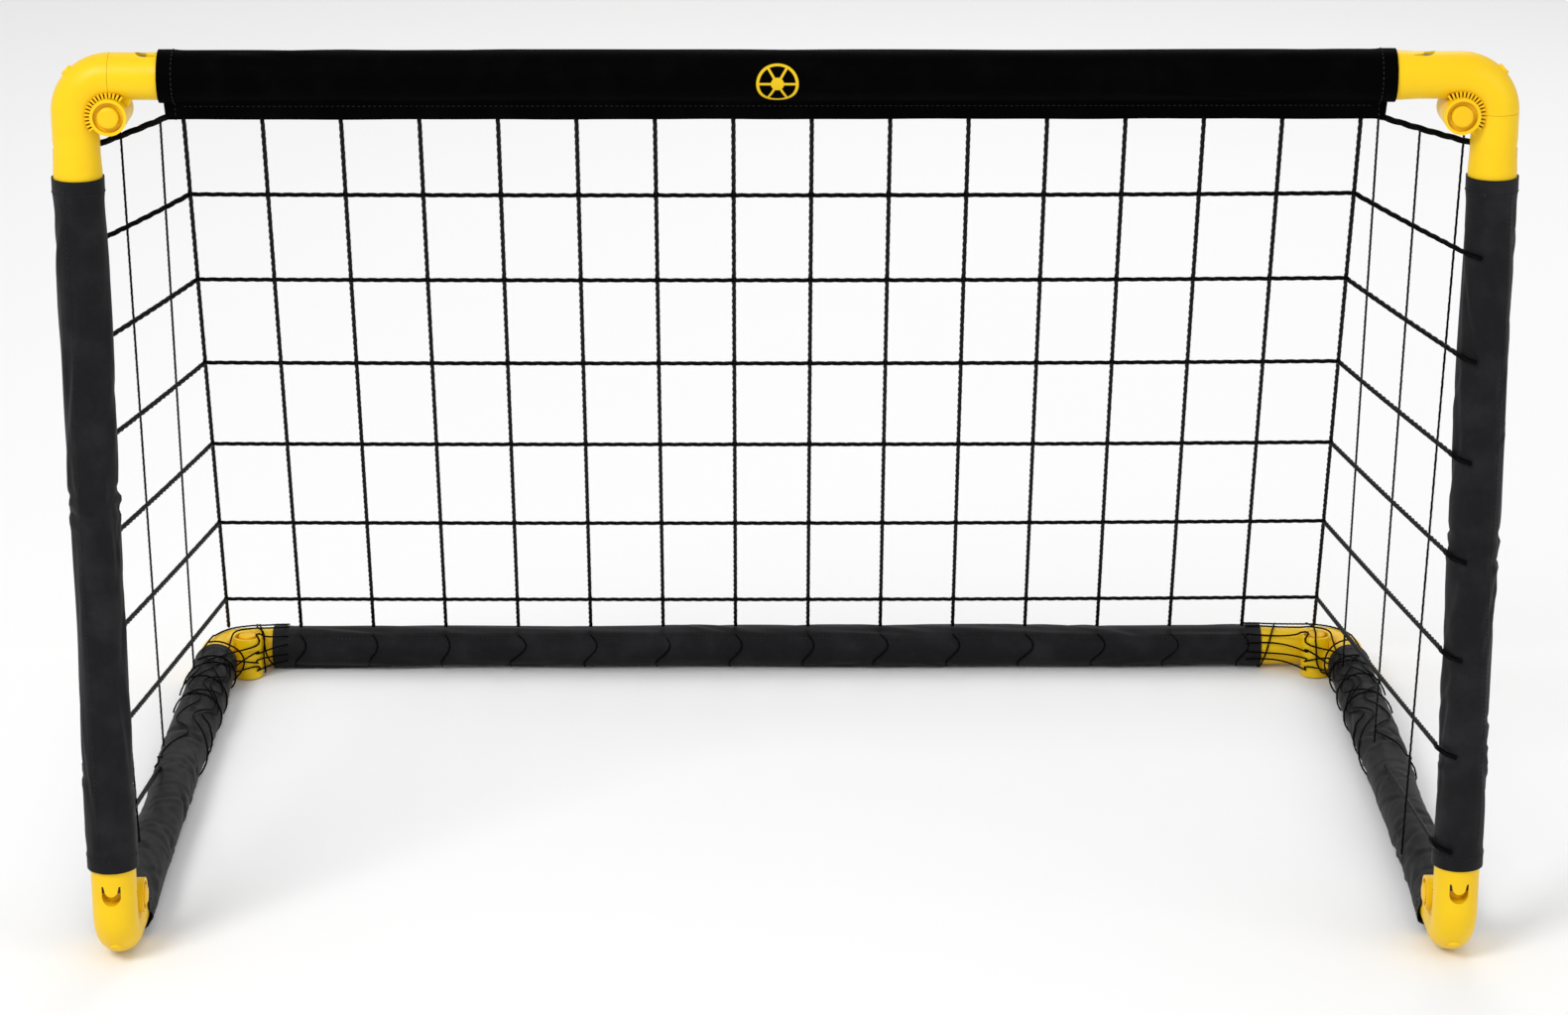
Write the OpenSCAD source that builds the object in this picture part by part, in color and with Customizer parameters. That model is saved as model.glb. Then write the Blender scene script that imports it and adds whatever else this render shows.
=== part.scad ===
// Folding mini goal: a sleeved tube frame with six push-button corner joints and a net.
// Millimetres, +Z up, +X to the right of someone facing the mouth from the front, +Y to the back.
// The origin is on the ground, in the middle of the footprint.

/* [Frame] */
// Distance between the centre lines of the two posts
post_spacing = 868; // [600:2:1200]
// Height of the crossbar's centre line above the ground
crossbar_height = 586; // [400:1:800]
// Outer radius of the frame tubes
tube_r = 12.7; // [11:0.1:13]
// Wall of the frame tubes
tube_wall = 1.2; // [0.8:0.1:2]

/* [Sleeves] */
// Outer radius of a fabric sleeve
sleeve_r = 15.9; // [15.8:0.1:17]
// Thickness of the sleeve fabric
sleeve_wall = 0.6; // [0.4:0.1:0.6]
// How far the crossbar sleeve's sewn flap hangs below the sleeve
flap_drop = 11; // [6:1:20]
// Thickness of the sewn flap
flap_t = 2; // [1:0.5:4]

/* [Corner joints] */
// Radius of the moulded bends and sockets
body_r = 14.5; // [14:0.1:15]
// Radius of the flared end of a socket
flare_r = 15.1; // [15:0.05:15.2]
// Distance from each tube's centre line to the hinge axis
bend_r = 22.5; // [21:0.5:26]
// Length of a socket, measured from the hinge axis
socket_len = 46; // [42:1:60]
// Radius of the hinge drum
drum_r = 11.3; // [11:0.1:11.8]
// Height of the drum's button face above the tube centre line
face_z = 16.4; // [15.5:0.1:18]
// Half width of the drum's middle knuckle
knuckle_half = 6.8; // [6.5:0.1:7]
// Travel of the push-button
button_travel = 4; // [3.8:0.1:4.2]
// Teeth on the lock gear, one lock position for each tooth
gear_teeth = 24; // [24:12:48]

/* [Net] */
// Thickness of the net cord
cord_d = 3; // [2:0.5:4]
// Cells across the back panel
back_cells = 15; // [6:1:20]
// Cross cords on the back panel and on each side panel
cross_cords = 6; // [3:1:8]

/* [Hidden] */
$fn = 48;
gap = 0.2;
base_z = sleeve_r;
frame_depth = crossbar_height - base_z;
post_x = post_spacing / 2;
button_proud = 1.8;
front_reach = face_z + button_proud;
front_y = (front_reach - sleeve_r) / 2 - frame_depth / 2;
back_y = front_y + frame_depth;

// The drum, along the hinge axis
rear_z = -15.2;
gear_z = 3.8;
gear_h = 6;
gear_root_r = 7.2;
gear_tip_r = 8.4;
gear_play = 0.15;
gear_pocket_top = 10.3;
spring_floor_z = -5.3;
spring_pocket_r = 6.2;
stem_r = 6.6;
face_recess_r = 9.4;
face_recess_z = 13.2;
pin_r = 2;
pin_top_z = 11;
pin_head_r = 4;
pin_head_t = 1.6;
drum_clear_r = drum_r + 0.3;

// Grip ribs round the drum
rib_step = 10;
rib_w = 1.3;
rib_reach = 15;
rib_top_z = 13;

// Tube seats and snap tabs
seat_start = 15;
seat_r = tube_r + 0.05;
tab_w = 12.2;
tongue_r = 4.3;
tongue_up = 4.6;
horn_len = 7.2;
horn_tip = 1;
slot_floor_r = 6;
peg_r = 2.1;
peg_up = 11;

// Springs under the buttons
wire_r = 0.4;
coil_r = 4.6;
coils = 4;
rings_per_coil = 14;
wire_sides = 6;

// Where each sleeve ends, measured from the hinge axis of the corner at that end
post_sleeve_low = 30;
post_sleeve_high = 40;

yellow = [0.98, 0.82, 0.08];
amber = [0.98, 0.66, 0.1];
cloth_black = [0.1, 0.1, 0.11];
tube_grey = [0.42, 0.43, 0.45];
steel = [0.7, 0.71, 0.73];
net_black = [0.05, 0.05, 0.05];

X = [1, 0, 0];
Y = [0, 1, 0];
Z = [0, 0, 1];
top_axis_z = crossbar_height - bend_r;
low_axis_z = base_z + bend_r;
axis_x = post_x - bend_r;
front_axis_y = front_y + bend_r;
back_axis_y = back_y - bend_r;

// Each corner: name, point on the hinge axis, the way its socket's tube runs, the way its bend's
// tube runs, the way its button faces, and how far along the tubes its snap tabs start.
CORNERS = [
    ["top_left", [-axis_x, front_y, top_axis_z], X, -Z, -Y, 16],
    ["top_right", [axis_x, front_y, top_axis_z], -Z, -X, -Y, 16],
    ["front_left", [-post_x, front_axis_y, low_axis_z], Y, Z, X, 7],
    ["front_right", [post_x, front_axis_y, low_axis_z], Y, Z, -X, 7],
    ["back_left", [-axis_x, back_axis_y, base_z], X, -Y, Z, 16],
    ["back_right", [axis_x, back_axis_y, base_z], -Y, -X, Z, 16]
];

// Each bar: name, its low end and high end on the centre line, as the hinge axes give them, where
// its sleeve starts and stops from those ends, and the way its snap tabs face.
BARS = [
    ["left_post", [-post_x, front_y, low_axis_z], [-post_x, front_y, top_axis_z],
        post_sleeve_low, post_sleeve_high, -Y, -X],
    ["right_post", [post_x, front_y, low_axis_z], [post_x, front_y, top_axis_z],
        post_sleeve_low, post_sleeve_high, -Y, X],
    ["crossbar", [-axis_x, front_y, crossbar_height], [axis_x, front_y, crossbar_height],
        30, 40, Z, Z],
    ["left_base_bar", [-post_x, front_axis_y, base_z], [-post_x, back_axis_y, base_z],
        22, 18, -Z, -X],
    ["right_base_bar", [post_x, front_axis_y, base_z], [post_x, back_axis_y, base_z],
        22, 24, -Z, X],
    ["back_bar", [-axis_x, back_y, base_z], [axis_x, back_y, base_z],
        18, 41, Y, Y]
];

// The net's edges. The cords run just outside the sleeves.
net_off = sleeve_r + cord_d / 2 + 0.4;
net_top_z = crossbar_height - sleeve_r - flap_drop - cord_d / 2 - 0.4;
net_top_y = front_y + 2;
net_top_x = [-368, 352];
net_foot = [0, back_y - net_off * cos(80), base_z + net_off * sin(80)];
net_foot_x = [-post_x + 6, post_x - 22];
row_post_z = [476, 150.5];
row_inset = 2;
side_foot_y = [125, 318, 482];
side_head = [0.25, 0.68];
near_share = 0.1;
near_head_z = 500;
toe_y = 268;
side_gap = cord_d + 1;

CORNER_PARTS = ["bend", "socket", "hinge_pin", "lock_gear", "lock_spring", "button"];
BAR_PARTS = ["tube", "sleeve"];
NET_PARTS = ["net_back", "net_left", "net_right"];

function mix(a, b, t) = a + (b - a) * t;
function side_cross(v, w) = v.y * w.z - v.z * w.y;
// Share of the way from p to q at which that line meets the line a to b, seen from the side
function meeting(p, q, a, b) = side_cross(a - p, b - a) / side_cross(q - p, b - a);

// Puts a corner drawn about its hinge axis (socket along +X, bend along +Y, button along +Z)
// in its place on the frame.
module at_corner(corner) {
    s = corner[2];
    b = corner[3];
    n = corner[4];
    p = corner[1];
    multmatrix([
        [s.x, b.x, n.x, p.x],
        [s.y, b.y, n.y, p.y],
        [s.z, b.z, n.z, p.z]
    ]) children();
}

// Turns +Z to run from point a to point b
module along(a, b) {
    d = b - a;
    translate(a)
    rotate([0, acos(d.z / norm(d)), atan2(d.y, d.x)])
    children();
}

module tube_socket(len) {
    rotate_extrude()
    polygon([
        [0, 0],
        [body_r, 0],
        [body_r, len - 20],
        [flare_r, len - 10],
        [flare_r, len - 1],
        [flare_r - 0.6, len],
        [0, len]
    ]);
}

// U-shaped slot that frees a snap tab in a socket's wall, drawn about the socket's axis (+Z)
// with the tab on the +X side. The slot is widest at its round end, at height `start`, and its
// two horns narrow towards the tab's root.
module tab_slot_cut(start) {
    outer = tab_w / 2;
    root = outer - horn_tip;
    translate([slot_floor_r, 0, start + outer])
    rotate([0, 90, 0])
    linear_extrude(flare_r - slot_floor_r + 1)
    difference() {
        union() {
            circle(outer);
            translate([-horn_len, -outer]) square([horn_len, tab_w]);
        }
        translate([-tongue_up, 0]) circle(tongue_r);
        polygon([
            [-tongue_up, -tongue_r],
            [-tongue_up, tongue_r],
            [-horn_len - gap, root],
            [-horn_len - gap, -root]
        ]);
    }
}

// Peg under a snap tab, which sits in the tube's hole
module tab_peg(start) {
    translate([tube_r - 0.9, 0, start + peg_up])
    rotate([0, 90, 0])
    cylinder(r = peg_r, h = 1.8);
}

module gear_outline(play) {
    pitch = 360 / gear_teeth;
    polygon([
        for (i = [0:gear_teeth - 1], side = [-0.32, -0.17, 0.17, 0.32])
        let (
            r = (abs(side) > 0.2 ? gear_root_r : gear_tip_r) + play,
            a = pitch * (i + side) + sign(side) * play * 57.3 / gear_tip_r
        )
        r * [cos(a), sin(a)]
    ]);
}

module grip_ribs(from, to) {
    for (a = [from:rib_step:to])
        rotate(a)
        translate([drum_r - 1.5, -rib_w / 2, knuckle_half + 0.5])
        cube([rib_reach - drum_r + 1.5, rib_w, rib_top_z - knuckle_half - 0.5]);
}

module bend(corner) {
    color(yellow)
    at_corner(corner)
    difference() {
        union() {
            rotate(180) rotate_extrude(angle = 90) translate([bend_r, 0]) circle(body_r);
            translate([-bend_r, 0, 0]) rotate([-90, 0, 0]) tube_socket(socket_len);
            translate([0, 0, rear_z]) cylinder(r = drum_r, h = face_z - rear_z);
            grip_ribs(145, 265);
            // witness pad where the mould parts, on the outside of the bend
            rotate(225)
            translate([bend_r + body_r - 2, 0, 0])
            rotate([0, 90, 0])
            cylinder(r1 = 4.5, r2 = 3.6, h = 3.2);
        }
        translate([0, 0, -knuckle_half - gap]) cylinder(r = drum_clear_r, h = 2 * (knuckle_half + gap));
        translate([0, 0, knuckle_half])
        linear_extrude(gear_pocket_top - knuckle_half)
        gear_outline(gear_play);
        cylinder(r = stem_r + 0.1, h = face_z + 1);
        translate([0, 0, face_recess_z]) cylinder(r = face_recess_r, h = face_z);
        translate([0, 0, rear_z - 1]) cylinder(r = pin_r, h = 12);
        translate([0, 0, rear_z - 1]) cylinder(r = pin_head_r + 0.1, h = pin_head_t + 1);
        translate([-bend_r, seat_start, 0]) rotate([-90, 0, 0]) cylinder(r = seat_r, h = socket_len);
        translate([-bend_r, 0, 0]) rotate([-90, 0, 0]) rotate(180) tab_slot_cut(corner[5]);
    }
    color(yellow)
    at_corner(corner)
    translate([-bend_r, 0, 0]) rotate([-90, 0, 0]) rotate(180) tab_peg(corner[5]);
}

module socket(corner) {
    color(yellow)
    at_corner(corner)
    difference() {
        union() {
            translate([gap, -bend_r, 0]) rotate([0, 90, 0]) tube_socket(socket_len - gap);
            translate([0, 0, -knuckle_half]) cylinder(r = drum_r, h = 2 * knuckle_half);
            translate([0, 0, -knuckle_half])
            linear_extrude(2 * knuckle_half)
            polygon([[gap, -bend_r], [gap, 0], [drum_r - 1, -4], [drum_r + 6, -bend_r + 8]]);
            grip_ribs(275, 305);
        }
        translate([0, 0, knuckle_half]) cylinder(r = drum_clear_r, h = 20);
        translate([0, 0, -20 - knuckle_half]) cylinder(r = drum_clear_r, h = 20);
        translate([0, 0, gear_z - button_travel - 0.6])
        linear_extrude(20)
        gear_outline(gear_play);
        translate([0, 0, spring_floor_z]) cylinder(r = spring_pocket_r, h = 10);
        translate([0, 0, -10]) cylinder(r = pin_r + 0.08, h = 10);
        translate([seat_start, -bend_r, 0]) rotate([0, 90, 0]) cylinder(r = seat_r, h = socket_len);
        translate([0, -bend_r, 0]) rotate([0, 90, 0]) rotate(270) tab_slot_cut(corner[5]);
    }
    color(yellow)
    at_corner(corner)
    translate([0, -bend_r, 0]) rotate([0, 90, 0]) rotate(270) tab_peg(corner[5]);
}

module hinge_pin(corner) {
    color(steel)
    at_corner(corner)
    union() {
        translate([0, 0, rear_z]) cylinder(r = pin_r, h = pin_top_z - rear_z);
        translate([0, 0, rear_z]) cylinder(r = pin_head_r, h = pin_head_t);
    }
}

module lock_gear(corner) {
    color(amber)
    at_corner(corner)
    translate([0, 0, gear_z])
    linear_extrude(gear_h)
    difference() {
        gear_outline(0);
        circle(pin_r + 0.08);
    }
}

module button(corner) {
    crown = face_z + button_proud;
    foot = gear_z + gear_h;
    color(yellow)
    at_corner(corner)
    rotate_extrude()
    polygon([
        [pin_r + 0.1, foot],
        [stem_r, foot],
        [stem_r, crown - 1.6],
        [stem_r - 0.5, crown - 0.8],
        [stem_r - 1.6, crown - 0.3],
        [0, crown],
        [0, crown - 2.4],
        [pin_r + 0.1, crown - 2.4]
    ]);
}

// Coil spring between the middle knuckle's floor and the gear, swept as one closed mesh
module lock_spring(corner) {
    rings = coils * rings_per_coil;
    low = spring_floor_z + wire_r + 0.05;
    high = gear_z - wire_r - 0.05;
    points = [
        for (i = [0:rings], k = [0:wire_sides - 1])
        let (
            turn = 360 * i / rings_per_coil,
            side = 360 * k / wire_sides,
            r = coil_r + wire_r * cos(side)
        )
        [r * cos(turn), r * sin(turn), mix(low, high, i / rings) + wire_r * sin(side)]
    ];
    walls = [
        for (i = [0:rings - 1], k = [0:wire_sides - 1])
        let (
            next = (k + 1) % wire_sides,
            here = i * wire_sides,
            there = here + wire_sides
        )
        each [[here + k, here + next, there + k], [here + next, there + next, there + k]]
    ];
    first_cap = [for (k = [wire_sides - 1:-1:0]) k];
    last_cap = [for (k = [0:wire_sides - 1]) rings * wire_sides + k];
    color(steel)
    at_corner(corner)
    polyhedron(points, concat(walls, [first_cap, last_cap]));
}

// Frame tube, with a hole near each end for the snap tab's peg
module tube(bar) {
    low = bar[1];
    high = bar[2];
    way = (high - low) / norm(high - low);
    start = low + way * (seat_start + 0.3);
    stop = high - way * (seat_start + 0.3);
    color(tube_grey)
    difference() {
        along(start, stop) difference() {
            cylinder(r = tube_r, h = norm(stop - start));
            translate([0, 0, -1]) cylinder(r = tube_r - tube_wall, h = norm(stop - start) + 2);
        }
        peg_hole(low, way, bar[5], tab_distance(low));
        peg_hole(high, -way, bar[6], tab_distance(high));
    }
}

// Front corners carry their snap tabs closer to the hinge than the others do
function tab_distance(end) = norm(end - [end.x, front_y, low_axis_z]) < 1
    || norm(end - [end.x, front_axis_y, base_z]) < 1 ? 7 : 16;

module peg_hole(end, way, facing, tab_start) {
    centre = end + way * (tab_start + peg_up);
    along(centre, centre + facing * 20) cylinder(r = peg_r + 0.2, h = 20);
}

module sleeve(bar) {
    low = bar[1];
    high = bar[2];
    way = (high - low) / norm(high - low);
    start = low + way * bar[3];
    stop = high - way * bar[4];
    long = norm(stop - start);
    color(cloth_black)
    union() {
        along(start, stop) difference() {
            cylinder(r = sleeve_r, h = long);
            translate([0, 0, -1]) cylinder(r = sleeve_r - sleeve_wall, h = long + 2);
        }
        if (bar[0] == "crossbar")
            translate([start.x + 2, start.y - flap_t / 2, start.z - sleeve_r - flap_drop])
            cube([long - 6, flap_t, flap_drop + sleeve_wall / 2 + 0.2]);
    }
}

module cord(a, b) {
    along(a, b) cylinder(d = cord_d, h = norm(b - a), $fn = 6);
}

// Slope share at which back-panel cross cord i lies, counted from the top
function row_share(i) = (0.117 + 0.143 * i + 0.004 * i * i) * 6 / cross_cords;
function head_x(side) = net_top_x[side < 0 ? 0 : 1];
function foot_x(side) = net_foot_x[side < 0 ? 0 : 1];
function net_head(side) = [head_x(side), net_top_y, net_top_z];
function net_heel(side) = [foot_x(side), net_foot.y, net_foot.z];
function corner_point(side, i) = mix(net_head(side), net_heel(side), row_share(i));
function post_point(side, i) = [
    side * (post_x - row_inset),
    front_y + net_off,
    mix(row_post_z[0], row_post_z[1], i / (cross_cords - 1))
];
function base_point(side, y) = [side * post_x, front_y + y, base_z + net_off];

module net_back() {
    color(net_black)
    union() {
        for (i = [0:back_cells]) {
            head = mix(net_head(-1), net_head(1), i / back_cells);
            heel = mix(net_heel(-1), net_heel(1), i / back_cells);
            cord(head, heel);
        }
        for (i = [0:cross_cords - 1])
            cord(corner_point(-1, i), corner_point(1, i));
    }
}

// The ends of a side panel's cross cords: from the post to the back panel's edge, and the lowest
// one from the post to the base bar
function side_rows(side) = concat(
    [for (i = [0:cross_cords - 1])
        [post_point(side, i), corner_point(side, i) + [side * side_gap, 0, 0]]],
    [[post_point(side, cross_cords), base_point(side, toe_y)]]
);

// A hanging cord's points: its head, each cross cord that it meets, and its foot
function hanging(rows, head, foot) = concat(
    [head],
    [for (row = rows)
        let (share = meeting(row[0], row[1], head, foot))
        if (share > 0.01 && share < 0.99) mix(row[0], row[1], share)],
    [foot]
);

module net_side(side) {
    tip = [side * (post_x - 14), front_y + 11.5, net_top_z - 12];
    head = net_head(side) + [side * side_gap, 0, 0];
    rows = side_rows(side);
    // the left panel's first hanging cord starts behind the post, the right one's beside it
    heads = [
        side < 0 ? [-post_x, front_y + net_off + 0.6, near_head_z] : mix(tip, head, near_share),
        mix(tip, head, side_head[0]),
        mix(tip, head, side_head[1])
    ];
    color(net_black)
    union() {
        cord(tip, head);
        for (row = rows) cord(row[0], row[1]);
        for (k = [0:2]) {
            points = hanging(rows, heads[k], base_point(side, side_foot_y[k]));
            for (i = [1:len(points) - 1]) cord(points[i - 1], points[i]);
        }
    }
}

for (bar = BARS) {
    tube(bar);
    sleeve(bar);
}
for (corner = CORNERS) {
    bend(corner);
    socket(corner);
    hinge_pin(corner);
    lock_gear(corner);
    lock_spring(corner);
    button(corner);
}
net_back();
net_side(-1);  // net_left
net_side(1);  // net_right
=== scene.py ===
"""Folding mini goal: cloth sleeves, a twisted-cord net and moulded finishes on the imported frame."""

import logging
import math
import random
from collections.abc import Iterable, Sequence
from dataclasses import dataclass, field
from enum import Enum
from typing import ClassVar, TypeVar

import bpy
import numpy as np
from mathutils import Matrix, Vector


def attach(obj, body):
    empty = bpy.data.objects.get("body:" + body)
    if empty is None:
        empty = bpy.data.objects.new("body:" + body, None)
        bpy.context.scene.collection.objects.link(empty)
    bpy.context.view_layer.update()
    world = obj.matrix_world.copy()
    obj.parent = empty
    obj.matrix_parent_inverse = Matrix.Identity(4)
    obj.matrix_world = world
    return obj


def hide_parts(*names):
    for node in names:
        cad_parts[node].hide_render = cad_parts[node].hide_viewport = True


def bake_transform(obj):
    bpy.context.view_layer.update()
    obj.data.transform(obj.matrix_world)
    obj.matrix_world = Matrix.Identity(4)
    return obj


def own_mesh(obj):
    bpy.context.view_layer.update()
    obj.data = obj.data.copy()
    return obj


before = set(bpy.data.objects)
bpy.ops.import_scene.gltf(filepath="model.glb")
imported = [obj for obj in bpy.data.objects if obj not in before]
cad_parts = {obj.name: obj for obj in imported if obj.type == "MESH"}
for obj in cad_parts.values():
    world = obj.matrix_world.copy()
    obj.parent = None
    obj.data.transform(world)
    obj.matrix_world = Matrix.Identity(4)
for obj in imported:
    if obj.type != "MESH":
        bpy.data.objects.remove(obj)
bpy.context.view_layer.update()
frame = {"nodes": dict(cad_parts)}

LOG = logging.getLogger("mini_goal")
MM = 0.001
Point = tuple[float, float, float]
Colour = tuple[float, float, float, float]
Either = TypeVar("Either")
UP = Vector((0, 0, 1))
AHEAD = Vector((0, -1, 0))
SIDES = ((-1, "left"), (1, "right"))


# ---------------------------------------------------------------- node graphs


class Val:
    """A node's output socket that takes part in Python arithmetic."""

    def __init__(self, graph: "Graph", socket: bpy.types.NodeSocket) -> None:
        """Keeps the graph and the socket."""
        self.graph, self.socket = graph, socket

    def __add__(self, other: "Val | float") -> "Val":
        """Adds a value or a number."""
        return self.graph.math("ADD", self, other)

    __radd__ = __add__

    def __sub__(self, other: "Val | float") -> "Val":
        """Takes away a value or a number."""
        return self.graph.math("SUBTRACT", self, other)

    def __rsub__(self, other: float) -> "Val":
        """Takes this value away from a number."""
        return self.graph.math("SUBTRACT", other, self)

    def __mul__(self, other: "Val | float") -> "Val":
        """Multiplies by a value or a number."""
        return self.graph.math("MULTIPLY", self, other)

    __rmul__ = __mul__

    def __truediv__(self, other: "Val | float") -> "Val":
        """Divides by a value or a number."""
        return self.graph.math("DIVIDE", self, other)

    def __pow__(self, other: float) -> "Val":
        """Raises to a power."""
        return self.graph.math("POWER", self, other)

    def __abs__(self) -> "Val":
        """Drops the sign."""
        return self.graph.math("ABSOLUTE", self)

    def smooth(self, low: float, high: float) -> "Val":
        """A soft step: 0 up to low, 1 from high."""
        return self.graph.value(
            "ShaderNodeMapRange",
            {"interpolation_type": "SMOOTHSTEP"},
            {"Value": self, "From Min": low, "From Max": high},
        )


class Graph:
    """Adds nodes to a node tree, shader or geometry, each by its type, settings and sockets."""

    def __init__(self, tree: bpy.types.NodeTree) -> None:
        """Keeps the tree."""
        self.tree = tree

    def node(
        self, kind: str, settings: dict | None = None, inputs: dict | None = None
    ) -> bpy.types.Node:
        """Adds one node.

        Args:
            kind: The node's type.
            settings: Its properties, set before its sockets.
            inputs: Values or links by socket name or number.

        Returns:
            The new node.
        """
        made = self.tree.nodes.new(kind)
        for name, value in (settings or {}).items():
            setattr(made, name, value)
        for key, value in (inputs or {}).items():
            for part in value if isinstance(value, list) else [value]:
                if isinstance(part, Val):
                    self.tree.links.new(part.socket, made.inputs[key])
                else:
                    made.inputs[key].default_value = part
        return made

    def value(
        self,
        kind: str,
        settings: dict | None = None,
        inputs: dict | None = None,
        output: int | str = 0,
    ) -> Val:
        """Adds one node and returns one of its outputs."""
        return Val(self, self.node(kind, settings, inputs).outputs[output])

    def math(self, operation: str, *values: "Val | float") -> Val:
        """Adds a Math node."""
        return self.value("ShaderNodeMath", {"operation": operation}, dict(enumerate(values)))

    def vector(self, operation: str, inputs: dict) -> Val:
        """Adds a Vector Math node."""
        return self.value("ShaderNodeVectorMath", {"operation": operation}, inputs)


class Shader(Graph):
    """One procedural material."""

    def __init__(self, name: str) -> None:
        """Starts an empty material.

        Args:
            name: The material's name.
        """
        self.material = bpy.data.materials.new(name)
        self.material.use_nodes = True
        self.material.node_tree.nodes.clear()
        super().__init__(self.material.node_tree)

    def place(self) -> Val:
        """Object coordinates, which are the frame's own metres."""
        return self.value("ShaderNodeTexCoord", output="Object")

    def stretched(self, vector: Val, scale: Point) -> Val:
        """Coordinates scaled along each axis, for a drawn-out pattern."""
        return self.value("ShaderNodeMapping", None, {"Vector": vector, "Scale": scale})

    def noise(self, vector: Val, scale: float, detail: float = 2.0) -> Val:
        """A noise value from 0 to 1."""
        inputs = {"Vector": vector, "Scale": scale, "Detail": detail}
        return self.value("ShaderNodeTexNoise", None, inputs)

    def mix(self, share: "Val | float", first: "Val | Colour", second: "Val | Colour") -> Val:
        """A mix of two colours."""
        inputs = {0: share, 6: first, 7: second}
        return self.value("ShaderNodeMix", {"data_type": "RGBA"}, inputs, 2)

    def relief(
        self, height: Val, depth: float, strength: float = 1.0, under: Val | None = None
    ) -> Val:
        """Adds a bump.

        Args:
            height: The pattern's height from 0 to 1.
            depth: Its full height, in metres.
            strength: Share of the bump that shows.
            under: Another bump that this one is laid over.

        Returns:
            The bumped normal.
        """
        inputs = {"Strength": strength, "Distance": depth, "Height": height}
        if under is not None:
            inputs["Normal"] = under
        return self.value("ShaderNodeBump", None, inputs)

    def surface(self, inputs: dict) -> bpy.types.Material:
        """Ends the material in a Principled shader.

        Args:
            inputs: The shader's sockets.

        Returns:
            The material.
        """
        shader = self.value("ShaderNodeBsdfPrincipled", None, inputs)
        self.node("ShaderNodeOutputMaterial", None, {"Surface": shader})
        return self.material


# ------------------------------------------------------------------- finishes


@dataclass(frozen=True)
class MouldedPlastic:
    """Satin injection-moulded plastic, with painted shade in its own recesses and gaps."""

    name: str
    face: Colour
    shade: Colour
    # Painted shade: the orange laid in recesses and gaps, where little light reaches.
    recess_painted_shade: Colour
    # Painted shadow: the near black laid in the deepest hollows.
    hollow_painted_shade: Colour = (0.05, 0.03, 0.02, 1.0)
    roughness: float = 0.38
    specular: float = 0.24
    # How far the ambient occlusion looks for the painted shade, in metres.
    painted_shade_reach: float = 4.5 * MM

    def material(self) -> bpy.types.Material:
        """Builds the material.

        Returns:
            The new material.
        """
        s = Shader(self.name)
        place = s.place()
        # Ambient occlusion masks the painted shade: the recess colour where the piece shades itself,
        # the hollow colour where it shades itself most.
        settings = {"samples": 8, "only_local": True}
        reach = {"Distance": self.painted_shade_reach}
        open_air = s.value("ShaderNodeAmbientOcclusion", settings, reach, "AO")
        flow = s.noise(s.stretched(place, (1.0, 1.0, 2.2)), 26, 3)
        spark = s.noise(place, 2600, 1)
        scuff = s.noise(s.stretched(place, (1.0, 1.0, 0.25)), 420, 4).smooth(0.62, 0.74)
        colour = s.mix(flow.smooth(0.38, 0.68) * 0.35, self.face, self.shade)
        painted_shade = 1 - open_air
        colour = s.mix(painted_shade.smooth(0.3, 0.85), colour, self.recess_painted_shade)
        colour = s.mix(painted_shade.smooth(0.72, 0.93), colour, self.hollow_painted_shade)
        normal = s.relief(spark, 0.02 * MM, 0.5)
        normal = s.relief(flow, 0.6 * MM, 0.12, normal)
        return s.surface(
            {
                "Base Color": colour,
                "Roughness": flow * 0.12 + scuff * 0.16 + (self.roughness - 0.06),
                "Normal": normal,
                "Specular IOR Level": self.specular,
            }
        )


@dataclass(frozen=True)
class WovenCloth:
    """Plain-woven nylon, on a UV map laid out in metres."""

    name: str
    thread: Colour
    worn: Colour
    gloss: float = 0.2
    ior: float = 1.5
    sheen: float = 0.03
    roughness: float = 0.62
    pitch: float = 0.6 * MM
    emblem: "Emblem | None" = None

    def material(self) -> bpy.types.Material:
        """Builds the material.

        Returns:
            The new material.
        """
        s = Shader(self.name)
        place = s.place()
        cloth = s.value("ShaderNodeUVMap", {"uv_map": "cloth"})
        split = s.node("ShaderNodeSeparateXYZ", None, {0: cloth})
        turn = 2 * math.pi / self.pitch
        warp = s.math("SINE", Val(s, split.outputs[0]) * turn)
        weft = s.math("SINE", Val(s, split.outputs[1]) * turn)
        weave = warp * weft * 0.5 + 0.5
        slub = s.noise(s.stretched(cloth, (1.0, 0.06, 1.0)), 900, 3)
        rub = s.noise(place, 34, 5)
        dust = s.noise(place, 260, 4)
        share = rub.smooth(0.42, 0.72) * 0.6 + dust.smooth(0.5, 0.8) * 0.22 + slub * 0.12
        colour = s.mix(share + weave * 0.1, self.thread, self.worn)
        roughness = rub * 0.16 + slub * 0.1 + (self.roughness - 0.12)
        if self.emblem:
            printed = self.emblem.mask(s, place) * (0.93 - weave * 0.16)
            colour = s.mix(printed, colour, self.emblem.ink)
        normal = s.relief(weave, 0.06 * MM, 0.45)
        normal = s.relief(slub, 0.1 * MM, 0.35, normal)
        normal = s.relief(s.noise(place, 120, 4), 0.5 * MM, 0.3, normal)
        return s.surface(
            {
                "Base Color": colour,
                "Roughness": roughness,
                "Normal": normal,
                "IOR": self.ior,
                "Specular IOR Level": self.gloss,
                "Sheen Weight": self.sheen,
                "Sheen Roughness": 0.5,
            }
        )


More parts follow.
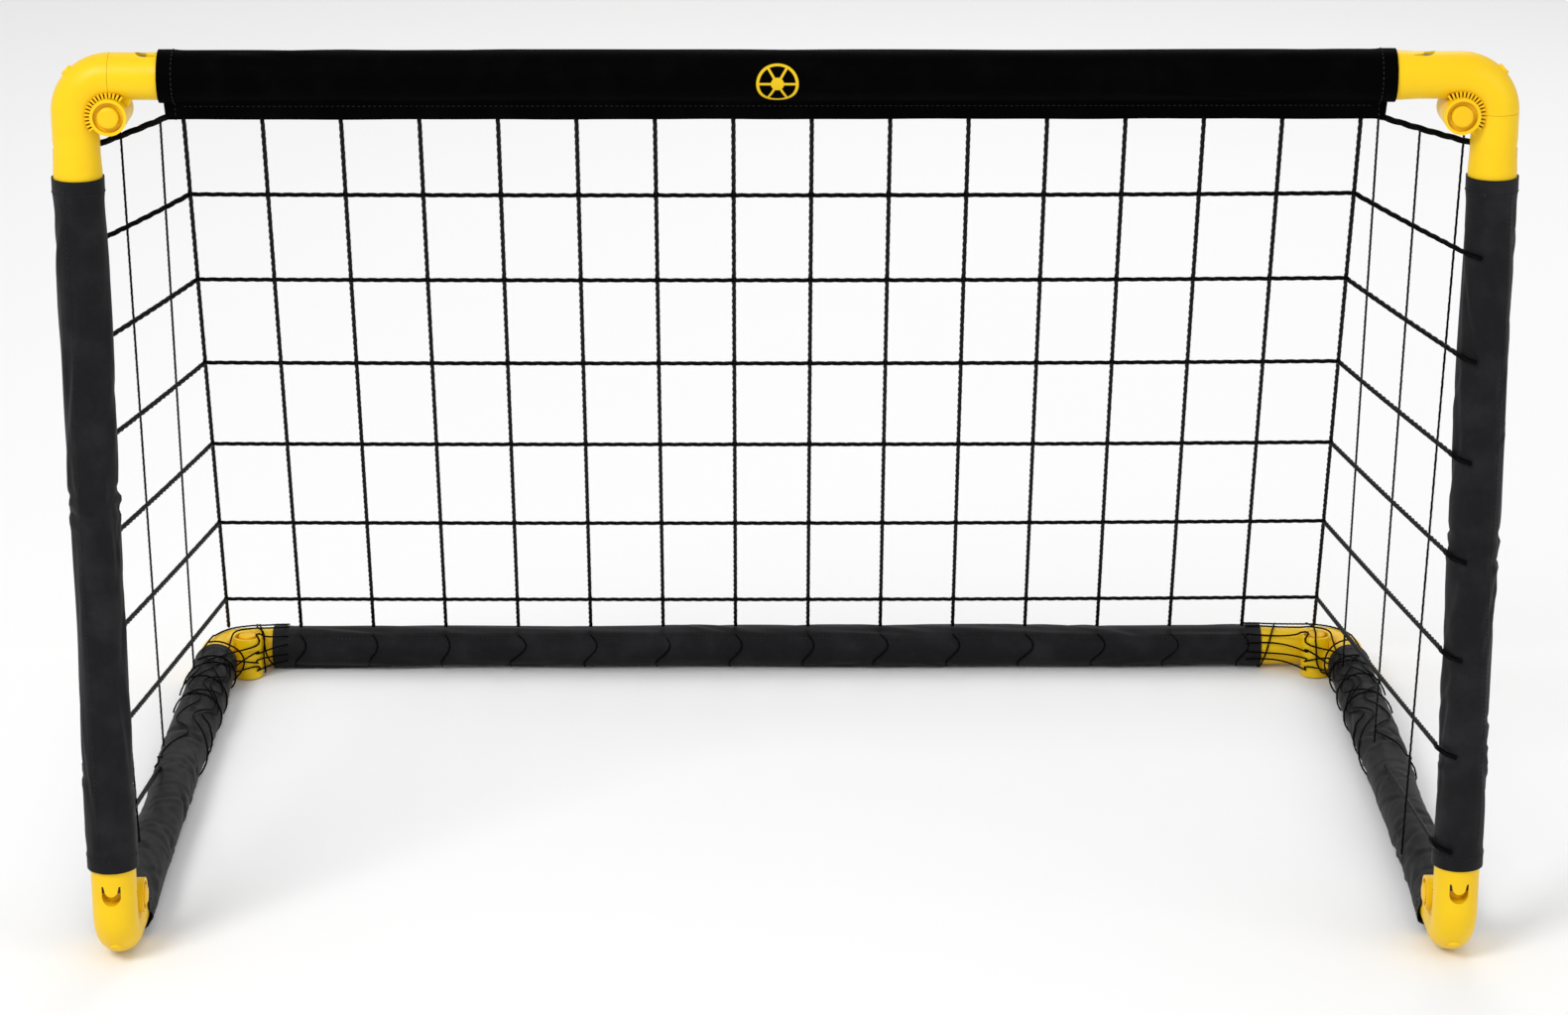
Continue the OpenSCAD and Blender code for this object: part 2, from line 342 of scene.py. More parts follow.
@dataclass(frozen=True)
class Emblem:
    """A plain printed ball, laid round the crossbar: a ring, a hub and six spokes."""

    x: float = -5 * MM
    rise: float = -2 * MM
    ring: float = 12 * MM
    line: float = 1.8 * MM
    hub: float = 4 * MM
    blur: float = 0.2 * MM
    ink: Colour = (0.83, 0.55, 0.02, 1.0)

    def mask(self, s: Shader, place: Val) -> Val:
        """Adds the print as a share from 0 to 1, on the front of the crossbar only.

        Args:
            s: The material that it is drawn in.
            place: Object coordinates.

        Returns:
            The share.
        """
        g, edge, half = GOAL, self.blur, self.line / 2
        split = s.node("ShaderNodeSeparateXYZ", None, {0: place})
        across, along, up = (Val(s, split.outputs[i]) for i in range(3))
        turn = s.math("ARCTAN2", up - g.crossbar_z, g.front_y - along)
        across, up = across - self.x, turn * g.sleeve_r - self.rise
        reach = s.math("SQRT", across * across + up * up)
        ring = 1 - abs(reach - self.ring).smooth(half - edge, half + edge)
        hub = 1 - reach.smooth(self.hub - edge, self.hub + edge)
        angle = s.math("ARCTAN2", up, across)
        spoke = abs(s.math("SINE", angle * 3)) * reach / 3
        spoke = (1 - spoke.smooth(half * 0.8 - edge, half * 0.8 + edge)) * (
            1 - reach.smooth(self.ring - edge, self.ring + edge)
        )
        front = 1 - along.smooth(g.front_y - 4 * MM, g.front_y - 2 * MM)
        return s.math("MAXIMUM", s.math("MAXIMUM", ring, hub), spoke) * front


@dataclass(frozen=True)
class CordFibre:
    """Twisted synthetic cord, with fibres that run round each strand."""

    name: str
    dark: Colour
    light: Colour
    roughness: float = 0.45
    ior: float = 1.15
    specular: float = 0.3
    fibres: float = 700.0
    lay: float = 3.0

    def material(self) -> bpy.types.Material:
        """Builds the material.

        Returns:
            The new material.
        """
        s = Shader(self.name)
        place = s.place()
        along = s.value("ShaderNodeAttribute", {"attribute_name": "along"}, output="Fac")
        around = s.value("ShaderNodeAttribute", {"attribute_name": "around"}, output="Fac")
        turns = along * self.fibres + around * self.lay
        fibre = s.math("SINE", turns * (2 * math.pi)) * 0.5 + 0.5
        fuzz = s.noise(place, 900, 3)
        colour = s.mix(fibre * 0.35 + fuzz.smooth(0.45, 0.75) * 0.6, self.dark, self.light)
        normal = s.relief(fibre, 0.06 * MM, 0.6)
        return s.surface(
            {
                "Base Color": colour,
                "Roughness": fuzz * 0.2 + (self.roughness - 0.1),
                "Normal": normal,
                "IOR": self.ior,
                "Specular IOR Level": self.specular,
            }
        )


@dataclass(frozen=True)
class DrawnMetal:
    """Steel or painted steel with marks along it and light wear."""

    name: str
    base: Colour
    rubbed: Colour
    metallic: float = 1.0
    roughness: float = 0.3

    def material(self) -> bpy.types.Material:
        """Builds the material.

        Returns:
            The new material.
        """
        s = Shader(self.name)
        place = s.place()
        marks = s.noise(s.stretched(place, (1.0, 1.0, 6.0)), 900, 3)
        wear = s.noise(place, 140, 5).smooth(0.55, 0.75)
        return s.surface(
            {
                "Base Color": s.mix(wear * 0.7, self.base, self.rubbed),
                "Metallic": self.metallic,
                "Roughness": marks * 0.2 + wear * 0.12 + (self.roughness - 0.1),
                "Normal": s.relief(marks, 0.04 * MM, 0.5),
            }
        )


@dataclass(frozen=True)
class PaleFloor:
    """A plain matt floor."""

    tone: float = 0.9
    drift: float = 0.01

    def material(self) -> bpy.types.Material:
        """Builds the material.

        Returns:
            The new material.
        """
        s = Shader("pale_floor")
        cloud = s.noise(s.place(), 3, 2)
        low, high = ((t, t, t, 1.0) for t in (self.tone - self.drift, self.tone))
        colour = s.mix(cloud, low, high)
        return s.surface({"Base Color": colour, "Roughness": 0.9, "Specular IOR Level": 0.05})


CLOTH = WovenCloth("black_cloth", (0.003, 0.003, 0.004, 1), (0.015, 0.015, 0.017, 1), gloss=0.13)
CROSSBAR_CLOTH = WovenCloth(
    name="crossbar_cloth",
    thread=(0.0004, 0.0004, 0.0005, 1),
    worn=(0.0018, 0.0018, 0.002, 1),
    ior=1.1,
    sheen=0.0,
    emblem=Emblem(),
)
THREAD = CordFibre("sewing_thread", (0.012, 0.012, 0.013, 1), (0.05, 0.05, 0.055, 1))
CORD = CordFibre("net_cord", (0.0004, 0.0004, 0.0004, 1), (0.0045, 0.0045, 0.005, 1))
SPRING_STEEL = DrawnMetal("spring_steel", (0.5, 0.51, 0.53, 1), (0.3, 0.29, 0.28, 1))
PIN_STEEL = DrawnMetal("pin_steel", (0.62, 0.63, 0.65, 1), (0.42, 0.41, 0.4, 1))
TUBE_PAINT = DrawnMetal(
    "tube_paint", (0.035, 0.033, 0.035, 1), (0.12, 0.12, 0.12, 1), metallic=0.3, roughness=0.5
)
CORNER_PLASTIC = MouldedPlastic(
    name="corner_plastic",
    face=(0.83, 0.535, 0.003, 1),
    shade=(0.80, 0.47, 0.002, 1),
    # Painted shade for recesses and gaps.
    recess_painted_shade=(0.76, 0.24, 0.003, 1),
)
BUTTON_PLASTIC = MouldedPlastic(
    name="button_plastic",
    face=(0.85, 0.5, 0.004, 1),
    shade=(0.82, 0.44, 0.003, 1),
    # Painted shade for recesses and gaps.
    recess_painted_shade=(0.76, 0.24, 0.003, 1),
)
GEAR_PLASTIC = MouldedPlastic(
    name="gear_plastic",
    face=(0.85, 0.33, 0.01, 1),
    shade=(0.75, 0.26, 0.01, 1),
    # Painted shade for recesses and gaps.
    recess_painted_shade=(0.5, 0.14, 0.01, 1),
)


# ---------------------------------------------------------------- goal's sizes


@dataclass(frozen=True)
class GoalSizes:
    """The frame's design sizes, in metres, as the part's source gives them.

    The gaps are the bare lengths between a sleeve's end and the bend beside it. A pair holds the
    lower or left one first.
    """

    post_x: float = 0.434
    crossbar_z: float = 0.586
    base_z: float = 0.0159
    front_y: float = -0.2839
    back_y: float = 0.2862
    bend_r: float = 0.0225
    body_r: float = 0.0145
    drum_r: float = 0.0113
    button_top: float = 0.0341
    sleeve_r: float = 0.0159
    sleeve_wall: float = 0.0006
    post_gaps: tuple[float, float] = (30 * MM, 40 * MM)
    crossbar_gaps: tuple[float, float] = (30 * MM, 40 * MM)
    base_front_gap: float = 22 * MM
    base_back_gaps: tuple[float, float] = (18 * MM, 24 * MM)
    back_gaps: tuple[float, float] = (18 * MM, 41 * MM)
    flap_drop: float = 0.011
    flap_t: float = 0.002
    cord_d: float = 0.003
    cord_gap: float = 0.4 * MM
    back_cells: int = 15
    cross_cords: int = 6

    @property
    def axis_x(self) -> float:
        """Distance of the top and back hinge axes from the middle."""
        return self.post_x - self.bend_r

    @property
    def net_off(self) -> float:
        """Distance of the net's edge cords from a bar's centre line."""
        return self.sleeve_r + self.cord_d / 2 + self.cord_gap


GOAL = GoalSizes()


def mix(a: Vector, b: Vector, share: float) -> Vector:
    """The point at that share of the way from a to b."""
    return a + (b - a) * share


def at_side(side: int, pair: Sequence[Either]) -> Either:
    """The first of two values for the left side, -1, and the second for the right side, 1."""
    return pair[0] if side < 0 else pair[1]


@dataclass(frozen=True)
class NetPlan:
    """Where the net's cords run, as the part's source lays them out."""

    goal: GoalSizes = GOAL
    top_x: tuple[float, float] = (-0.368, 0.352)
    row_post_z: tuple[float, float] = (0.476, 0.1505)
    row_inset: float = 2 * MM
    side_foot_y: tuple[float, ...] = (0.125, 0.318, 0.482)
    near_head_z: float = 0.5
    toe_y: float = 0.268
    toe_turn: float = math.radians(-25)
    heel_turn: float = math.radians(80)
    heel_inset: tuple[float, float] = (6 * MM, 22 * MM)
    tuck: Vector = Vector((0, -2 * MM, 3.5 * MM))
    first_share: float = 0.117
    next_share: float = 0.143
    more_share: float = 0.004

    def share(self, row: int) -> float:
        """Share of the slope at which a cross cord lies, from the top."""
        return self.first_share + self.next_share * row + self.more_share * row * row

    def head(self, side: int) -> Vector:
        """Finds a top corner of the back panel.

        Args:
            side: -1 for the left one, 1 for the right one.

        Returns:
            The point.
        """
        g = self.goal
        z = g.crossbar_z - g.sleeve_r - g.flap_drop - g.cord_d / 2 - g.cord_gap
        return Vector((at_side(side, self.top_x), g.front_y + 2 * MM, z))

    def heel(self, side: int) -> Vector:
        """Finds a bottom corner of the back panel.

        Args:
            side: -1 for the left one, 1 for the right one.

        Returns:
            The point.
        """
        g = self.goal
        x = side * (g.post_x - at_side(side, self.heel_inset))
        y = g.back_y - g.net_off * math.cos(self.heel_turn)
        return Vector((x, y, g.base_z + g.net_off * math.sin(self.heel_turn)))

    def corner(self, side: int, row: int) -> Vector:
        """Where a cross cord meets the back panel's edge."""
        return mix(self.head(side), self.heel(side), self.share(row))

    def post(self, side: int, row: int) -> Vector:
        """Finds where a cross cord meets the post, at its back.

        Args:
            side: -1 for the left post, 1 for the right one.
            row: The cord's number from the top, from 0.

        Returns:
            The point.
        """
        g = self.goal
        z0, z1 = self.row_post_z
        z = z0 + (z1 - z0) * row / (g.cross_cords - 1)
        return Vector((side * (g.post_x - self.row_inset), g.front_y + g.net_off, z))

    def base(self, side: int, y: float, turn: float = 0.0) -> Vector:
        """Finds a point on a base bar, so far behind the front.

        Args:
            side: -1 for the left bar, 1 for the right one.
            y: Distance behind the front.
            turn: Angle from the top of the bar towards the right.

        Returns:
            The point, at the net's distance from the bar.
        """
        g = self.goal
        out = Vector((math.sin(turn), 0, math.cos(turn))) * g.net_off
        return Vector((side * g.post_x, g.front_y + y, g.base_z)) + out

    def heads(self, side: int) -> list[Vector]:
        """Finds where a side panel's three hanging cords start.

        Args:
            side: -1 for the left panel, 1 for the right one.

        Returns:
            The points, from the front.
        """
        g = self.goal
        tip, head = self.tip(side), self.head(side) + self.tuck
        if side > 0:
            return [mix(tip, head, share) for share in (0.04, 0.45, 0.84)]
        behind = Vector((-g.post_x, g.front_y + g.net_off + 0.6 * MM, self.near_head_z))
        return [behind, mix(tip, head, 0.23), mix(tip, head, 0.72)]

    def feet(self, side: int) -> list[Vector]:
        """Where a side panel's three hanging cords end, on a net that sits a little to the left."""
        turns = (-6, -40, -36) if side < 0 else (-66, -30, -36)
        return [self.base(side, y, math.radians(a)) for y, a in zip(self.side_foot_y, turns)]

    def tip(self, side: int) -> Vector:
        """Front end of a side panel's top cord."""
        x, y = self.goal.post_x - 14 * MM, self.goal.front_y + 11.5 * MM
        return Vector((side * x, y, self.head(side).z - 12 * MM))


# ----------------------------------------------------------------- mesh making


def placed(name: str, data: bpy.types.ID) -> bpy.types.Object:
    """Makes an object of some data and puts it in the scene.

    Args:
        name: The object's name.
        data: Its mesh, camera or light.

    Returns:
        The object.
    """
    made = bpy.data.objects.new(name, data)
    bpy.context.scene.collection.objects.link(made)
    return made


def mesh_piece(
    name: str, points: Sequence, faces: Sequence, finish: bpy.types.Material
) -> bpy.types.Object:
    """Makes a smooth-shaded mesh object at the origin.

    Args:
        name: The piece's name.
        points: Its vertices, in the frame.
        faces: Its faces, as vertex numbers.
        finish: Its material.

    Returns:
        The object.
    """
    mesh = bpy.data.meshes.new(name)
    mesh.from_pydata([tuple(p) for p in points], [], faces)
    mesh.materials.append(finish)
    mesh.shade_smooth()
    return placed(name, mesh)


def path_mesh(name: str, paths: Iterable[Sequence], knots: Iterable = ()) -> bpy.types.Object:
    """Makes a mesh of edge chains, with loose points marked as knots.

    Args:
        name: The object's name.
        paths: Each cord's points.
        knots: Points that get a knot.

    Returns:
        The object, ready for a geometry tree.
    """
    points, edges = [], []
    for path in paths:
        start = len(points)
        points += [tuple(p) for p in path]
        edges += [(i, i + 1) for i in range(start, len(points) - 1)]
    tied = len(points)
    points += [tuple(p) for p in knots]
    mesh = bpy.data.meshes.new(name)
    mesh.from_pydata(points, edges, [])
    flags = mesh.attributes.new("knot", "BOOLEAN", "POINT")
    flags.data.foreach_set("value", [i >= tied for i in range(len(points))])
    return placed(name, mesh)


class GeometryTree(Graph):
    """A geometry-node tree with named inputs, used as a piece maker."""

    def __init__(self, name: str, sizes: dict[str, float]) -> None:
        """Starts the tree.

        Args:
            name: The tree's name.
            sizes: Its named number inputs with their usual values.
        """
        super().__init__(bpy.data.node_groups.new(name, "GeometryNodeTree"))
        face = self.tree.interface
        face.new_socket("Path", in_out="INPUT", socket_type="NodeSocketGeometry")
        face.new_socket("Finish", in_out="INPUT", socket_type="NodeSocketMaterial")
        for size, usual in sizes.items():
            socket = face.new_socket(size, in_out="INPUT", socket_type="NodeSocketFloat")
            socket.default_value = usual
        face.new_socket("Piece", in_out="OUTPUT", socket_type="NodeSocketGeometry")
        self.entry = self.node("NodeGroupInput")
        self.build()

    def given(self, name: str) -> Val:
        """One of the tree's named inputs."""
        return Val(self, self.entry.outputs[name])

    def build(self) -> None:
        """Adds the tree's own nodes."""
        raise NotImplementedError

    def end(self, parts: list[Val]) -> None:
        """Joins the parts and ends the tree in real geometry with its finish.

        Args:
            parts: The geometry of each part.
        """
        joined = self.value("GeometryNodeJoinGeometry", None, {"Geometry": parts})
        real = self.value("GeometryNodeRealizeInstances", None, {"Geometry": joined})
        smooth = self.value("GeometryNodeSetShadeSmooth", None, {"Geometry": real})
        inputs = {"Geometry": smooth, "Material": self.given("Finish")}
        dressed = self.value("GeometryNodeSetMaterial", None, inputs)
        self.node("NodeGroupOutput", None, {"Piece": dressed})

    def make(
        self, maker: bpy.types.Object, finish: bpy.types.Material, **sizes: float
    ) -> bpy.types.Object:
        """Runs the tree on an object and returns the result as a plain mesh object.

        Args:
            maker: The object with the paths, which is used up.
            finish: The material.
            sizes: Values for the named inputs, with underscores for spaces.

        Returns:
            The finished piece, under the maker's name.
        """
        modifier = maker.modifiers.new("maker", "NODES")
        modifier.node_group = self.tree
        wanted = {name.replace("_", " ").capitalize(): value for name, value in sizes.items()}
        wanted["Finish"] = finish
        for socket in self.tree.interface.items_tree:
            if socket.in_out == "INPUT" and socket.name in wanted:
                modifier[socket.identifier] = wanted[socket.name]
        graph = bpy.context.evaluated_depsgraph_get()
        mesh = bpy.data.meshes.new_from_object(maker.evaluated_get(graph), depsgraph=graph)
        name = maker.name
        maker.modifiers.clear()
        bpy.data.objects.remove(maker)
        mesh.name = name
        return placed(name, mesh)


class CordTree(GeometryTree):
    """Three strands twisted round every path, with a small knot at each marked point."""

    PROFILE_SIDES = 5
    STRANDS = 3
    SPREAD = 0.75
    KNOT_SHAPE = (1.0, 0.8, 1.0)

    def __init__(self) -> None:
        """Builds the tree with a cord about 3 mm thick as its usual size."""
        super().__init__(
            "twisted_cord",
            {"Strand radius": 0.9 * MM, "Twist": 26 * MM, "Step": 3.5 * MM, "Knot": 1.9 * MM},
        )

    def build(self) -> None:
        """Sweeps each strand along its helix and sets the knots."""
        radius = self.given("Strand radius")
        path = self.value("GeometryNodeMeshToCurve", None, {"Mesh": self.given("Path")})
        inputs = {"Curve": path, "Length": self.given("Step")}
        path = self.value("GeometryNodeResampleCurve", {"mode": "LENGTH"}, inputs)
        way = self.value("GeometryNodeInputTangent")
        side = self.value("GeometryNodeInputNormal")
        other = self.vector("CROSS_PRODUCT", {0: way, 1: side})
        length = self.value("GeometryNodeSplineParameter", output="Length")
        parts = []
        for strand_number in range(self.STRANDS):
            phase = 2 * math.pi * strand_number / self.STRANDS
            angle = length / self.given("Twist") * (2 * math.pi) + phase
            shifts = [
                self.vector("SCALE", {0: axis, 3: self.math(wave, angle) * radius * self.SPREAD})
                for axis, wave in ((side, "COSINE"), (other, "SINE"))
            ]
            shift = self.vector("ADD", {0: shifts[0], 1: shifts[1]})
            strand = self.value("GeometryNodeSetPosition", None, {"Geometry": path, "Offset": shift})
            strand = self.kept(strand, "along", length)
            inputs = {"Resolution": self.PROFILE_SIDES, "Radius": radius}
            profile = self.value("GeometryNodeCurvePrimitiveCircle", None, inputs)
            factor = self.value("GeometryNodeSplineParameter", output="Factor")
            profile = self.kept(profile, "around", factor)
            inputs = {"Curve": strand, "Profile Curve": profile, "Fill Caps": True}
            parts.append(self.value("GeometryNodeCurveToMesh", None, inputs))
        inputs = {"Radius": self.given("Knot"), "Subdivisions": 2}
        bead = self.value("GeometryNodeMeshIcoSphere", None, inputs)
        marked = self.value(
            "GeometryNodeInputNamedAttribute", {"data_type": "BOOLEAN"}, {"Name": "knot"}
        )
        inputs = {"Points": self.given("Path"), "Selection": marked, "Instance": bead}
        inputs["Scale"] = self.KNOT_SHAPE
        parts.append(self.value("GeometryNodeInstanceOnPoints", None, inputs))
        self.end(parts)

    def kept(self, geometry: Val, name: str, value: Val) -> Val:
        """Stores a number on the points, for the finish."""
        inputs = {"Geometry": geometry, "Name": name, "Value": value}
        return self.value("GeometryNodeStoreNamedAttribute", None, inputs)


class StitchTree(GeometryTree):
    """Short thread stitches set one after another along every path."""

    def __init__(self) -> None:
        """Builds the tree with lockstitch sizes."""
        super().__init__("stitch_row", {"Pitch": 3.2 * MM, "Thread": 0.32 * MM, "Fill": 0.36})

    def build(self) -> None:
        """Sets a stretched bead at each stitch, turned along the path."""
        path = self.value("GeometryNodeMeshToCurve", None, {"Mesh": self.given("Path")})
        inputs = {"Curve": path, "Length": self.given("Pitch")}
        points = self.node("GeometryNodeCurveToPoints", {"mode": "LENGTH"}, inputs)
        bead = self.value("GeometryNodeMeshIcoSphere", None, {"Radius": 1.0, "Subdivisions": 1})
        thread = self.given("Thread")
        long = self.given("Pitch") * self.given("Fill")
        size = self.value("ShaderNodeCombineXYZ", None, {0: thread, 1: thread, 2: long})
        inputs = {
            "Points": Val(self, points.outputs["Points"]),
            "Instance": bead,
            "Rotation": Val(self, points.outputs["Rotation"]),
            "Scale": size,
        }
        self.end([self.value("GeometryNodeInstanceOnPoints", None, inputs)])


class WireTree(GeometryTree):
    """A plain round wire along every path."""

    def __init__(self) -> None:
        """Builds the tree with the lock springs' wire as its usual size."""
        super().__init__("round_wire", {"Radius": 0.4 * MM})

    def build(self) -> None:
        """Sweeps a circle along the path."""
        path = self.value("GeometryNodeMeshToCurve", None, {"Mesh": self.given("Path")})
        inputs = {"Resolution": 12, "Radius": self.given("Radius")}
        profile = self.value("GeometryNodeCurvePrimitiveCircle", None, inputs)
        inputs = {"Curve": path, "Profile Curve": profile, "Fill Caps": True}
        self.end([self.value("GeometryNodeCurveToMesh", None, inputs)])


def smooth_path(points: Sequence[Vector], step: float) -> list[Vector]:
    """Fits a smooth curve through the points.

    Args:
        points: The points that it passes through.
        step: Distance between the points of the result, in metres.

    Returns:
        The curve's points.
    """
    ends = [points[0] * 2 - points[1], *points, points[-1] * 2 - points[-2]]
    out = []
    for p0, p1, p2, p3 in zip(ends, ends[1:], ends[2:], ends[3:]):
        count = max(1, round((p2 - p1).length / step))
        for i in range(count):
            t = i / count
            out.append(
                0.5
                * (
                    2 * p1
                    + (p2 - p0) * t
                    + (2 * p0 - 5 * p1 + 4 * p2 - p3) * t * t
                    + (3 * p1 - p0 - 3 * p2 + p3) * t * t * t
                )
            )
    return [*out, points[-1]]


# --------------------------------------------------------------------- sleeves


class Crumple(Enum):
    """How a sleeve's cloth lies on its bar."""

    TAUT = "taut"
    SOFT = "soft"
    LOOSE = "loose"


@dataclass(frozen=True)
class Creases:
    """How many creases a crumple has and what they are like, in metres and radians."""

    count: int
    length: tuple[float, float]
    width: tuple[float, float]
    depth: float
    slant: float
    sway: float


CREASES = {
    Crumple.TAUT: Creases(26, (0.03, 0.16), (0.002, 0.004), 0.45 * MM, 0.10, 0.15 * MM),
    Crumple.SOFT: Creases(64, (0.012, 0.09), (0.002, 0.0045), 0.85 * MM, 0.22, 0.5 * MM),
    Crumple.LOOSE: Creases(120, (0.007, 0.03), (0.002, 0.004), 1.15 * MM, 1.2, 0.8 * MM),
}


@dataclass
class Sleeve:
    """A sewn cloth tube round one bar, with hems, a seam and folds.

    `front` is the direction from which distances round the cloth count, `kinks` are the distances
    along the sleeve at which it is creased right round, `seam_at` is the seam's share of the way
    round, and within `overlap` of each end the cloth stays clear of the bend's plastic below it.
    """

    name: str
    bar: str
    body: str
    start: Vector
    stop: Vector
    front: Vector
    crumple: Crumple
    seed: int
    kinks: tuple[float, ...] = ()
    ruffle: bool = False
    seam_at: float = 0.35
    goal: GoalSizes = GOAL
    around: int = 72
    step: float = 3 * MM
    hem: float = 12 * MM
    hem_rise: float = 0.5 * MM
    hem_groove: float = 0.45 * MM
    seam_half: float = 3.2 * MM
    seam_rise: float = 0.35 * MM
    stitch_in: float = 2.2 * MM
    thread_rise: float = 0.12 * MM
    valley: float = 1.9 * MM
    ridge: float = 1.25 * MM
    frill: float = 0.9 * MM
    overlap: float = 35 * MM

    KINK_FOLDS: ClassVar[int] = 9
    KINK_WIDTH: ClassVar[float] = 3 * MM
    KINK_DEPTH: ClassVar[float] = 1.3 * MM

    @property
    def length(self) -> float:
        """The sleeve's length along its bar."""
        return (self.stop - self.start).length

    @property
    def way(self) -> Vector:
        """The bar's direction."""
        return (self.stop - self.start).normalized()

    @property
    def girth(self) -> float:
        """The cloth's width round the bar, in metres."""
        return 2 * math.pi * (self.goal.sleeve_r - self.goal.sleeve_wall / 2)

    def profile(self) -> tuple[np.ndarray, np.ndarray, np.ndarray]:
        """Works out the cross-section at rest.

        Returns:
            Each point's place and outward direction across the bar, as pairs along `front` and
            sideways, and its distance round the cloth.
        """
        r = self.goal.sleeve_r
        turn = np.linspace(0, 2 * math.pi, self.around, endpoint=False)
        out = np.stack([np.cos(turn), np.sin(turn)], 1)
        return out * r, out, turn * r

    def folds(self, u: np.ndarray, s: np.ndarray) -> np.ndarray:
        """Works out the height of the cloth over its even surface.

        Args:
            u: Distance round the cloth, in metres.
            s: Distance along it, in metres.

        Returns:
            The height at each point, in metres.
        """
        kind = CREASES[self.crumple]
        draw = random.Random(self.seed)
        high = np.zeros_like(u)
        girth = self.girth
        for _ in range(kind.count):
            centre = draw.uniform(0, girth), draw.uniform(10 * MM, self.length - 10 * MM)
            slant = draw.gauss(0, kind.slant)
            long, wide = draw.uniform(*kind.length), draw.uniform(*kind.width)
            deep = kind.depth * draw.uniform(0.35, 1.0)
            high += self.crease(u, s, centre, slant, long, wide, deep)
        for place in self.kinks:
            for _ in range(self.KINK_FOLDS):
                centre = draw.uniform(0, girth), place + draw.gauss(0, 9 * MM)
                slant = math.pi / 2 + draw.gauss(0, 0.45)
                long = draw.uniform(8 * MM, 20 * MM)
                high += self.crease(u, s, centre, slant, long, self.KINK_WIDTH, self.KINK_DEPTH)
        wave = 2 * math.pi * u / girth
        high += kind.sway * np.sin(2 * wave + 9 * s / self.length + self.seed)
        high += kind.sway * 0.8 * np.sin(wave + 31 * s + self.seed * 2)
        return high

    def crease(
        self,
        u: np.ndarray,
        s: np.ndarray,
        centre: tuple[float, float],
        slant: float,
        long: float,
        wide: float,
        deep: float,
    ) -> np.ndarray:
        """Works out one pinched fold: a narrow valley with a soft ridge beside it.

        Args:
            u: Distance round the cloth.
            s: Distance along it.
            centre: The fold's middle, in the same two distances.
            slant: Its turn away from the bar's direction, in radians.
            long: Its half length.
            wide: Its half width.
            deep: Its depth.

        Returns:
            The height at each point.
        """
        du = (u - centre[0] + self.girth / 2) % self.girth - self.girth / 2
        ds = s - centre[1]
        run = ds * math.cos(slant) + du * math.sin(slant)
        off = (du * math.cos(slant) - ds * math.sin(slant)) / wide
        fade = np.exp(-((run / long) ** 2))
        return deep * fade * (0.75 * np.exp(-((off - 1.3) ** 2)) - np.exp(-(off**2)))

    def sewing(self, u: np.ndarray, s: np.ndarray) -> np.ndarray:
        """Works out the height of the hems at both ends and of the felled seam along the sleeve.

        Args:
            u: Distance round the cloth.
            s: Distance along it.

        Returns:
            The height at each point.
        """
        edge = np.minimum(s, self.length - s)
        soft = 0.35 * MM
        hem = self.hem_rise / (1 + np.exp((edge - self.hem) / soft))
        hem -= self.hem_groove * np.exp(-(((edge - self.hem - 0.9 * MM) / (0.7 * MM)) ** 2))
        seam_u = self.seam_at * self.girth
        off = (u - seam_u + self.girth / 2) % self.girth - self.girth / 2
        seam = self.seam_rise / (1 + np.exp((np.abs(off) - self.seam_half) / soft))
        return hem + seam * (edge > self.hem)

    def shell(self) -> tuple[np.ndarray, np.ndarray, np.ndarray, np.ndarray]:
        """Works out the outer surface.

        Returns:
            Places and outward directions of shape (along, around, 3), and the two distances.
        """
        places, outs, u = self.profile()
        rows = max(8, round(self.length / self.step)) + 1
        close = np.arange(1, 7) * MM
        s = np.concatenate([np.linspace(0, self.length, rows), close, self.length - close])
        s = np.unique(s.round(5))
        grid_u, grid_s = np.meshgrid(u, s)
        high = self.folds(grid_u, grid_s)
        edge = np.minimum(grid_s, self.length - grid_s)
        high *= 0.45 + 0.55 * np.clip((edge - self.hem) / 0.01, 0, 1)
        high = np.clip(high, -self.valley, self.ridge) + self.sewing(grid_u, grid_s)
        room = self.goal.sleeve_r - self.goal.sleeve_wall - self.goal.body_r - 0.1 * MM
        if self.ruffle:
            turn = 2 * math.pi * grid_u / self.girth
            frill = np.exp(-grid_s / self.hem) * (np.sin(7 * turn + 1.3) + 0.6 * np.sin(12 * turn))
            high += self.frill * frill
        high = np.where(edge < self.overlap, np.maximum(high, -room), high)
        axis_front, axis_side = np.array(self.front), np.array(self.way.cross(self.front))
        out = outs[:, :1] * axis_front + outs[:, 1:] * axis_side
        base = places[:, :1] * axis_front + places[:, 1:] * axis_side
        line = np.array(self.start) + s[:, None] * np.array(self.way)
        place = line[:, None, :] + base[None] + out[None] * high[..., None]
        place = self.hang(place, base[None], s)
        place[..., 2] = np.maximum(place[..., 2], 0.2 * MM)
        return place, np.broadcast_to(out[None], place.shape), grid_u, grid_s

    def hang(self, place: np.ndarray, base: np.ndarray, s: np.ndarray) -> np.ndarray:
        """Moves parts of the surface that hang free; a plain tube has none."""
        return place

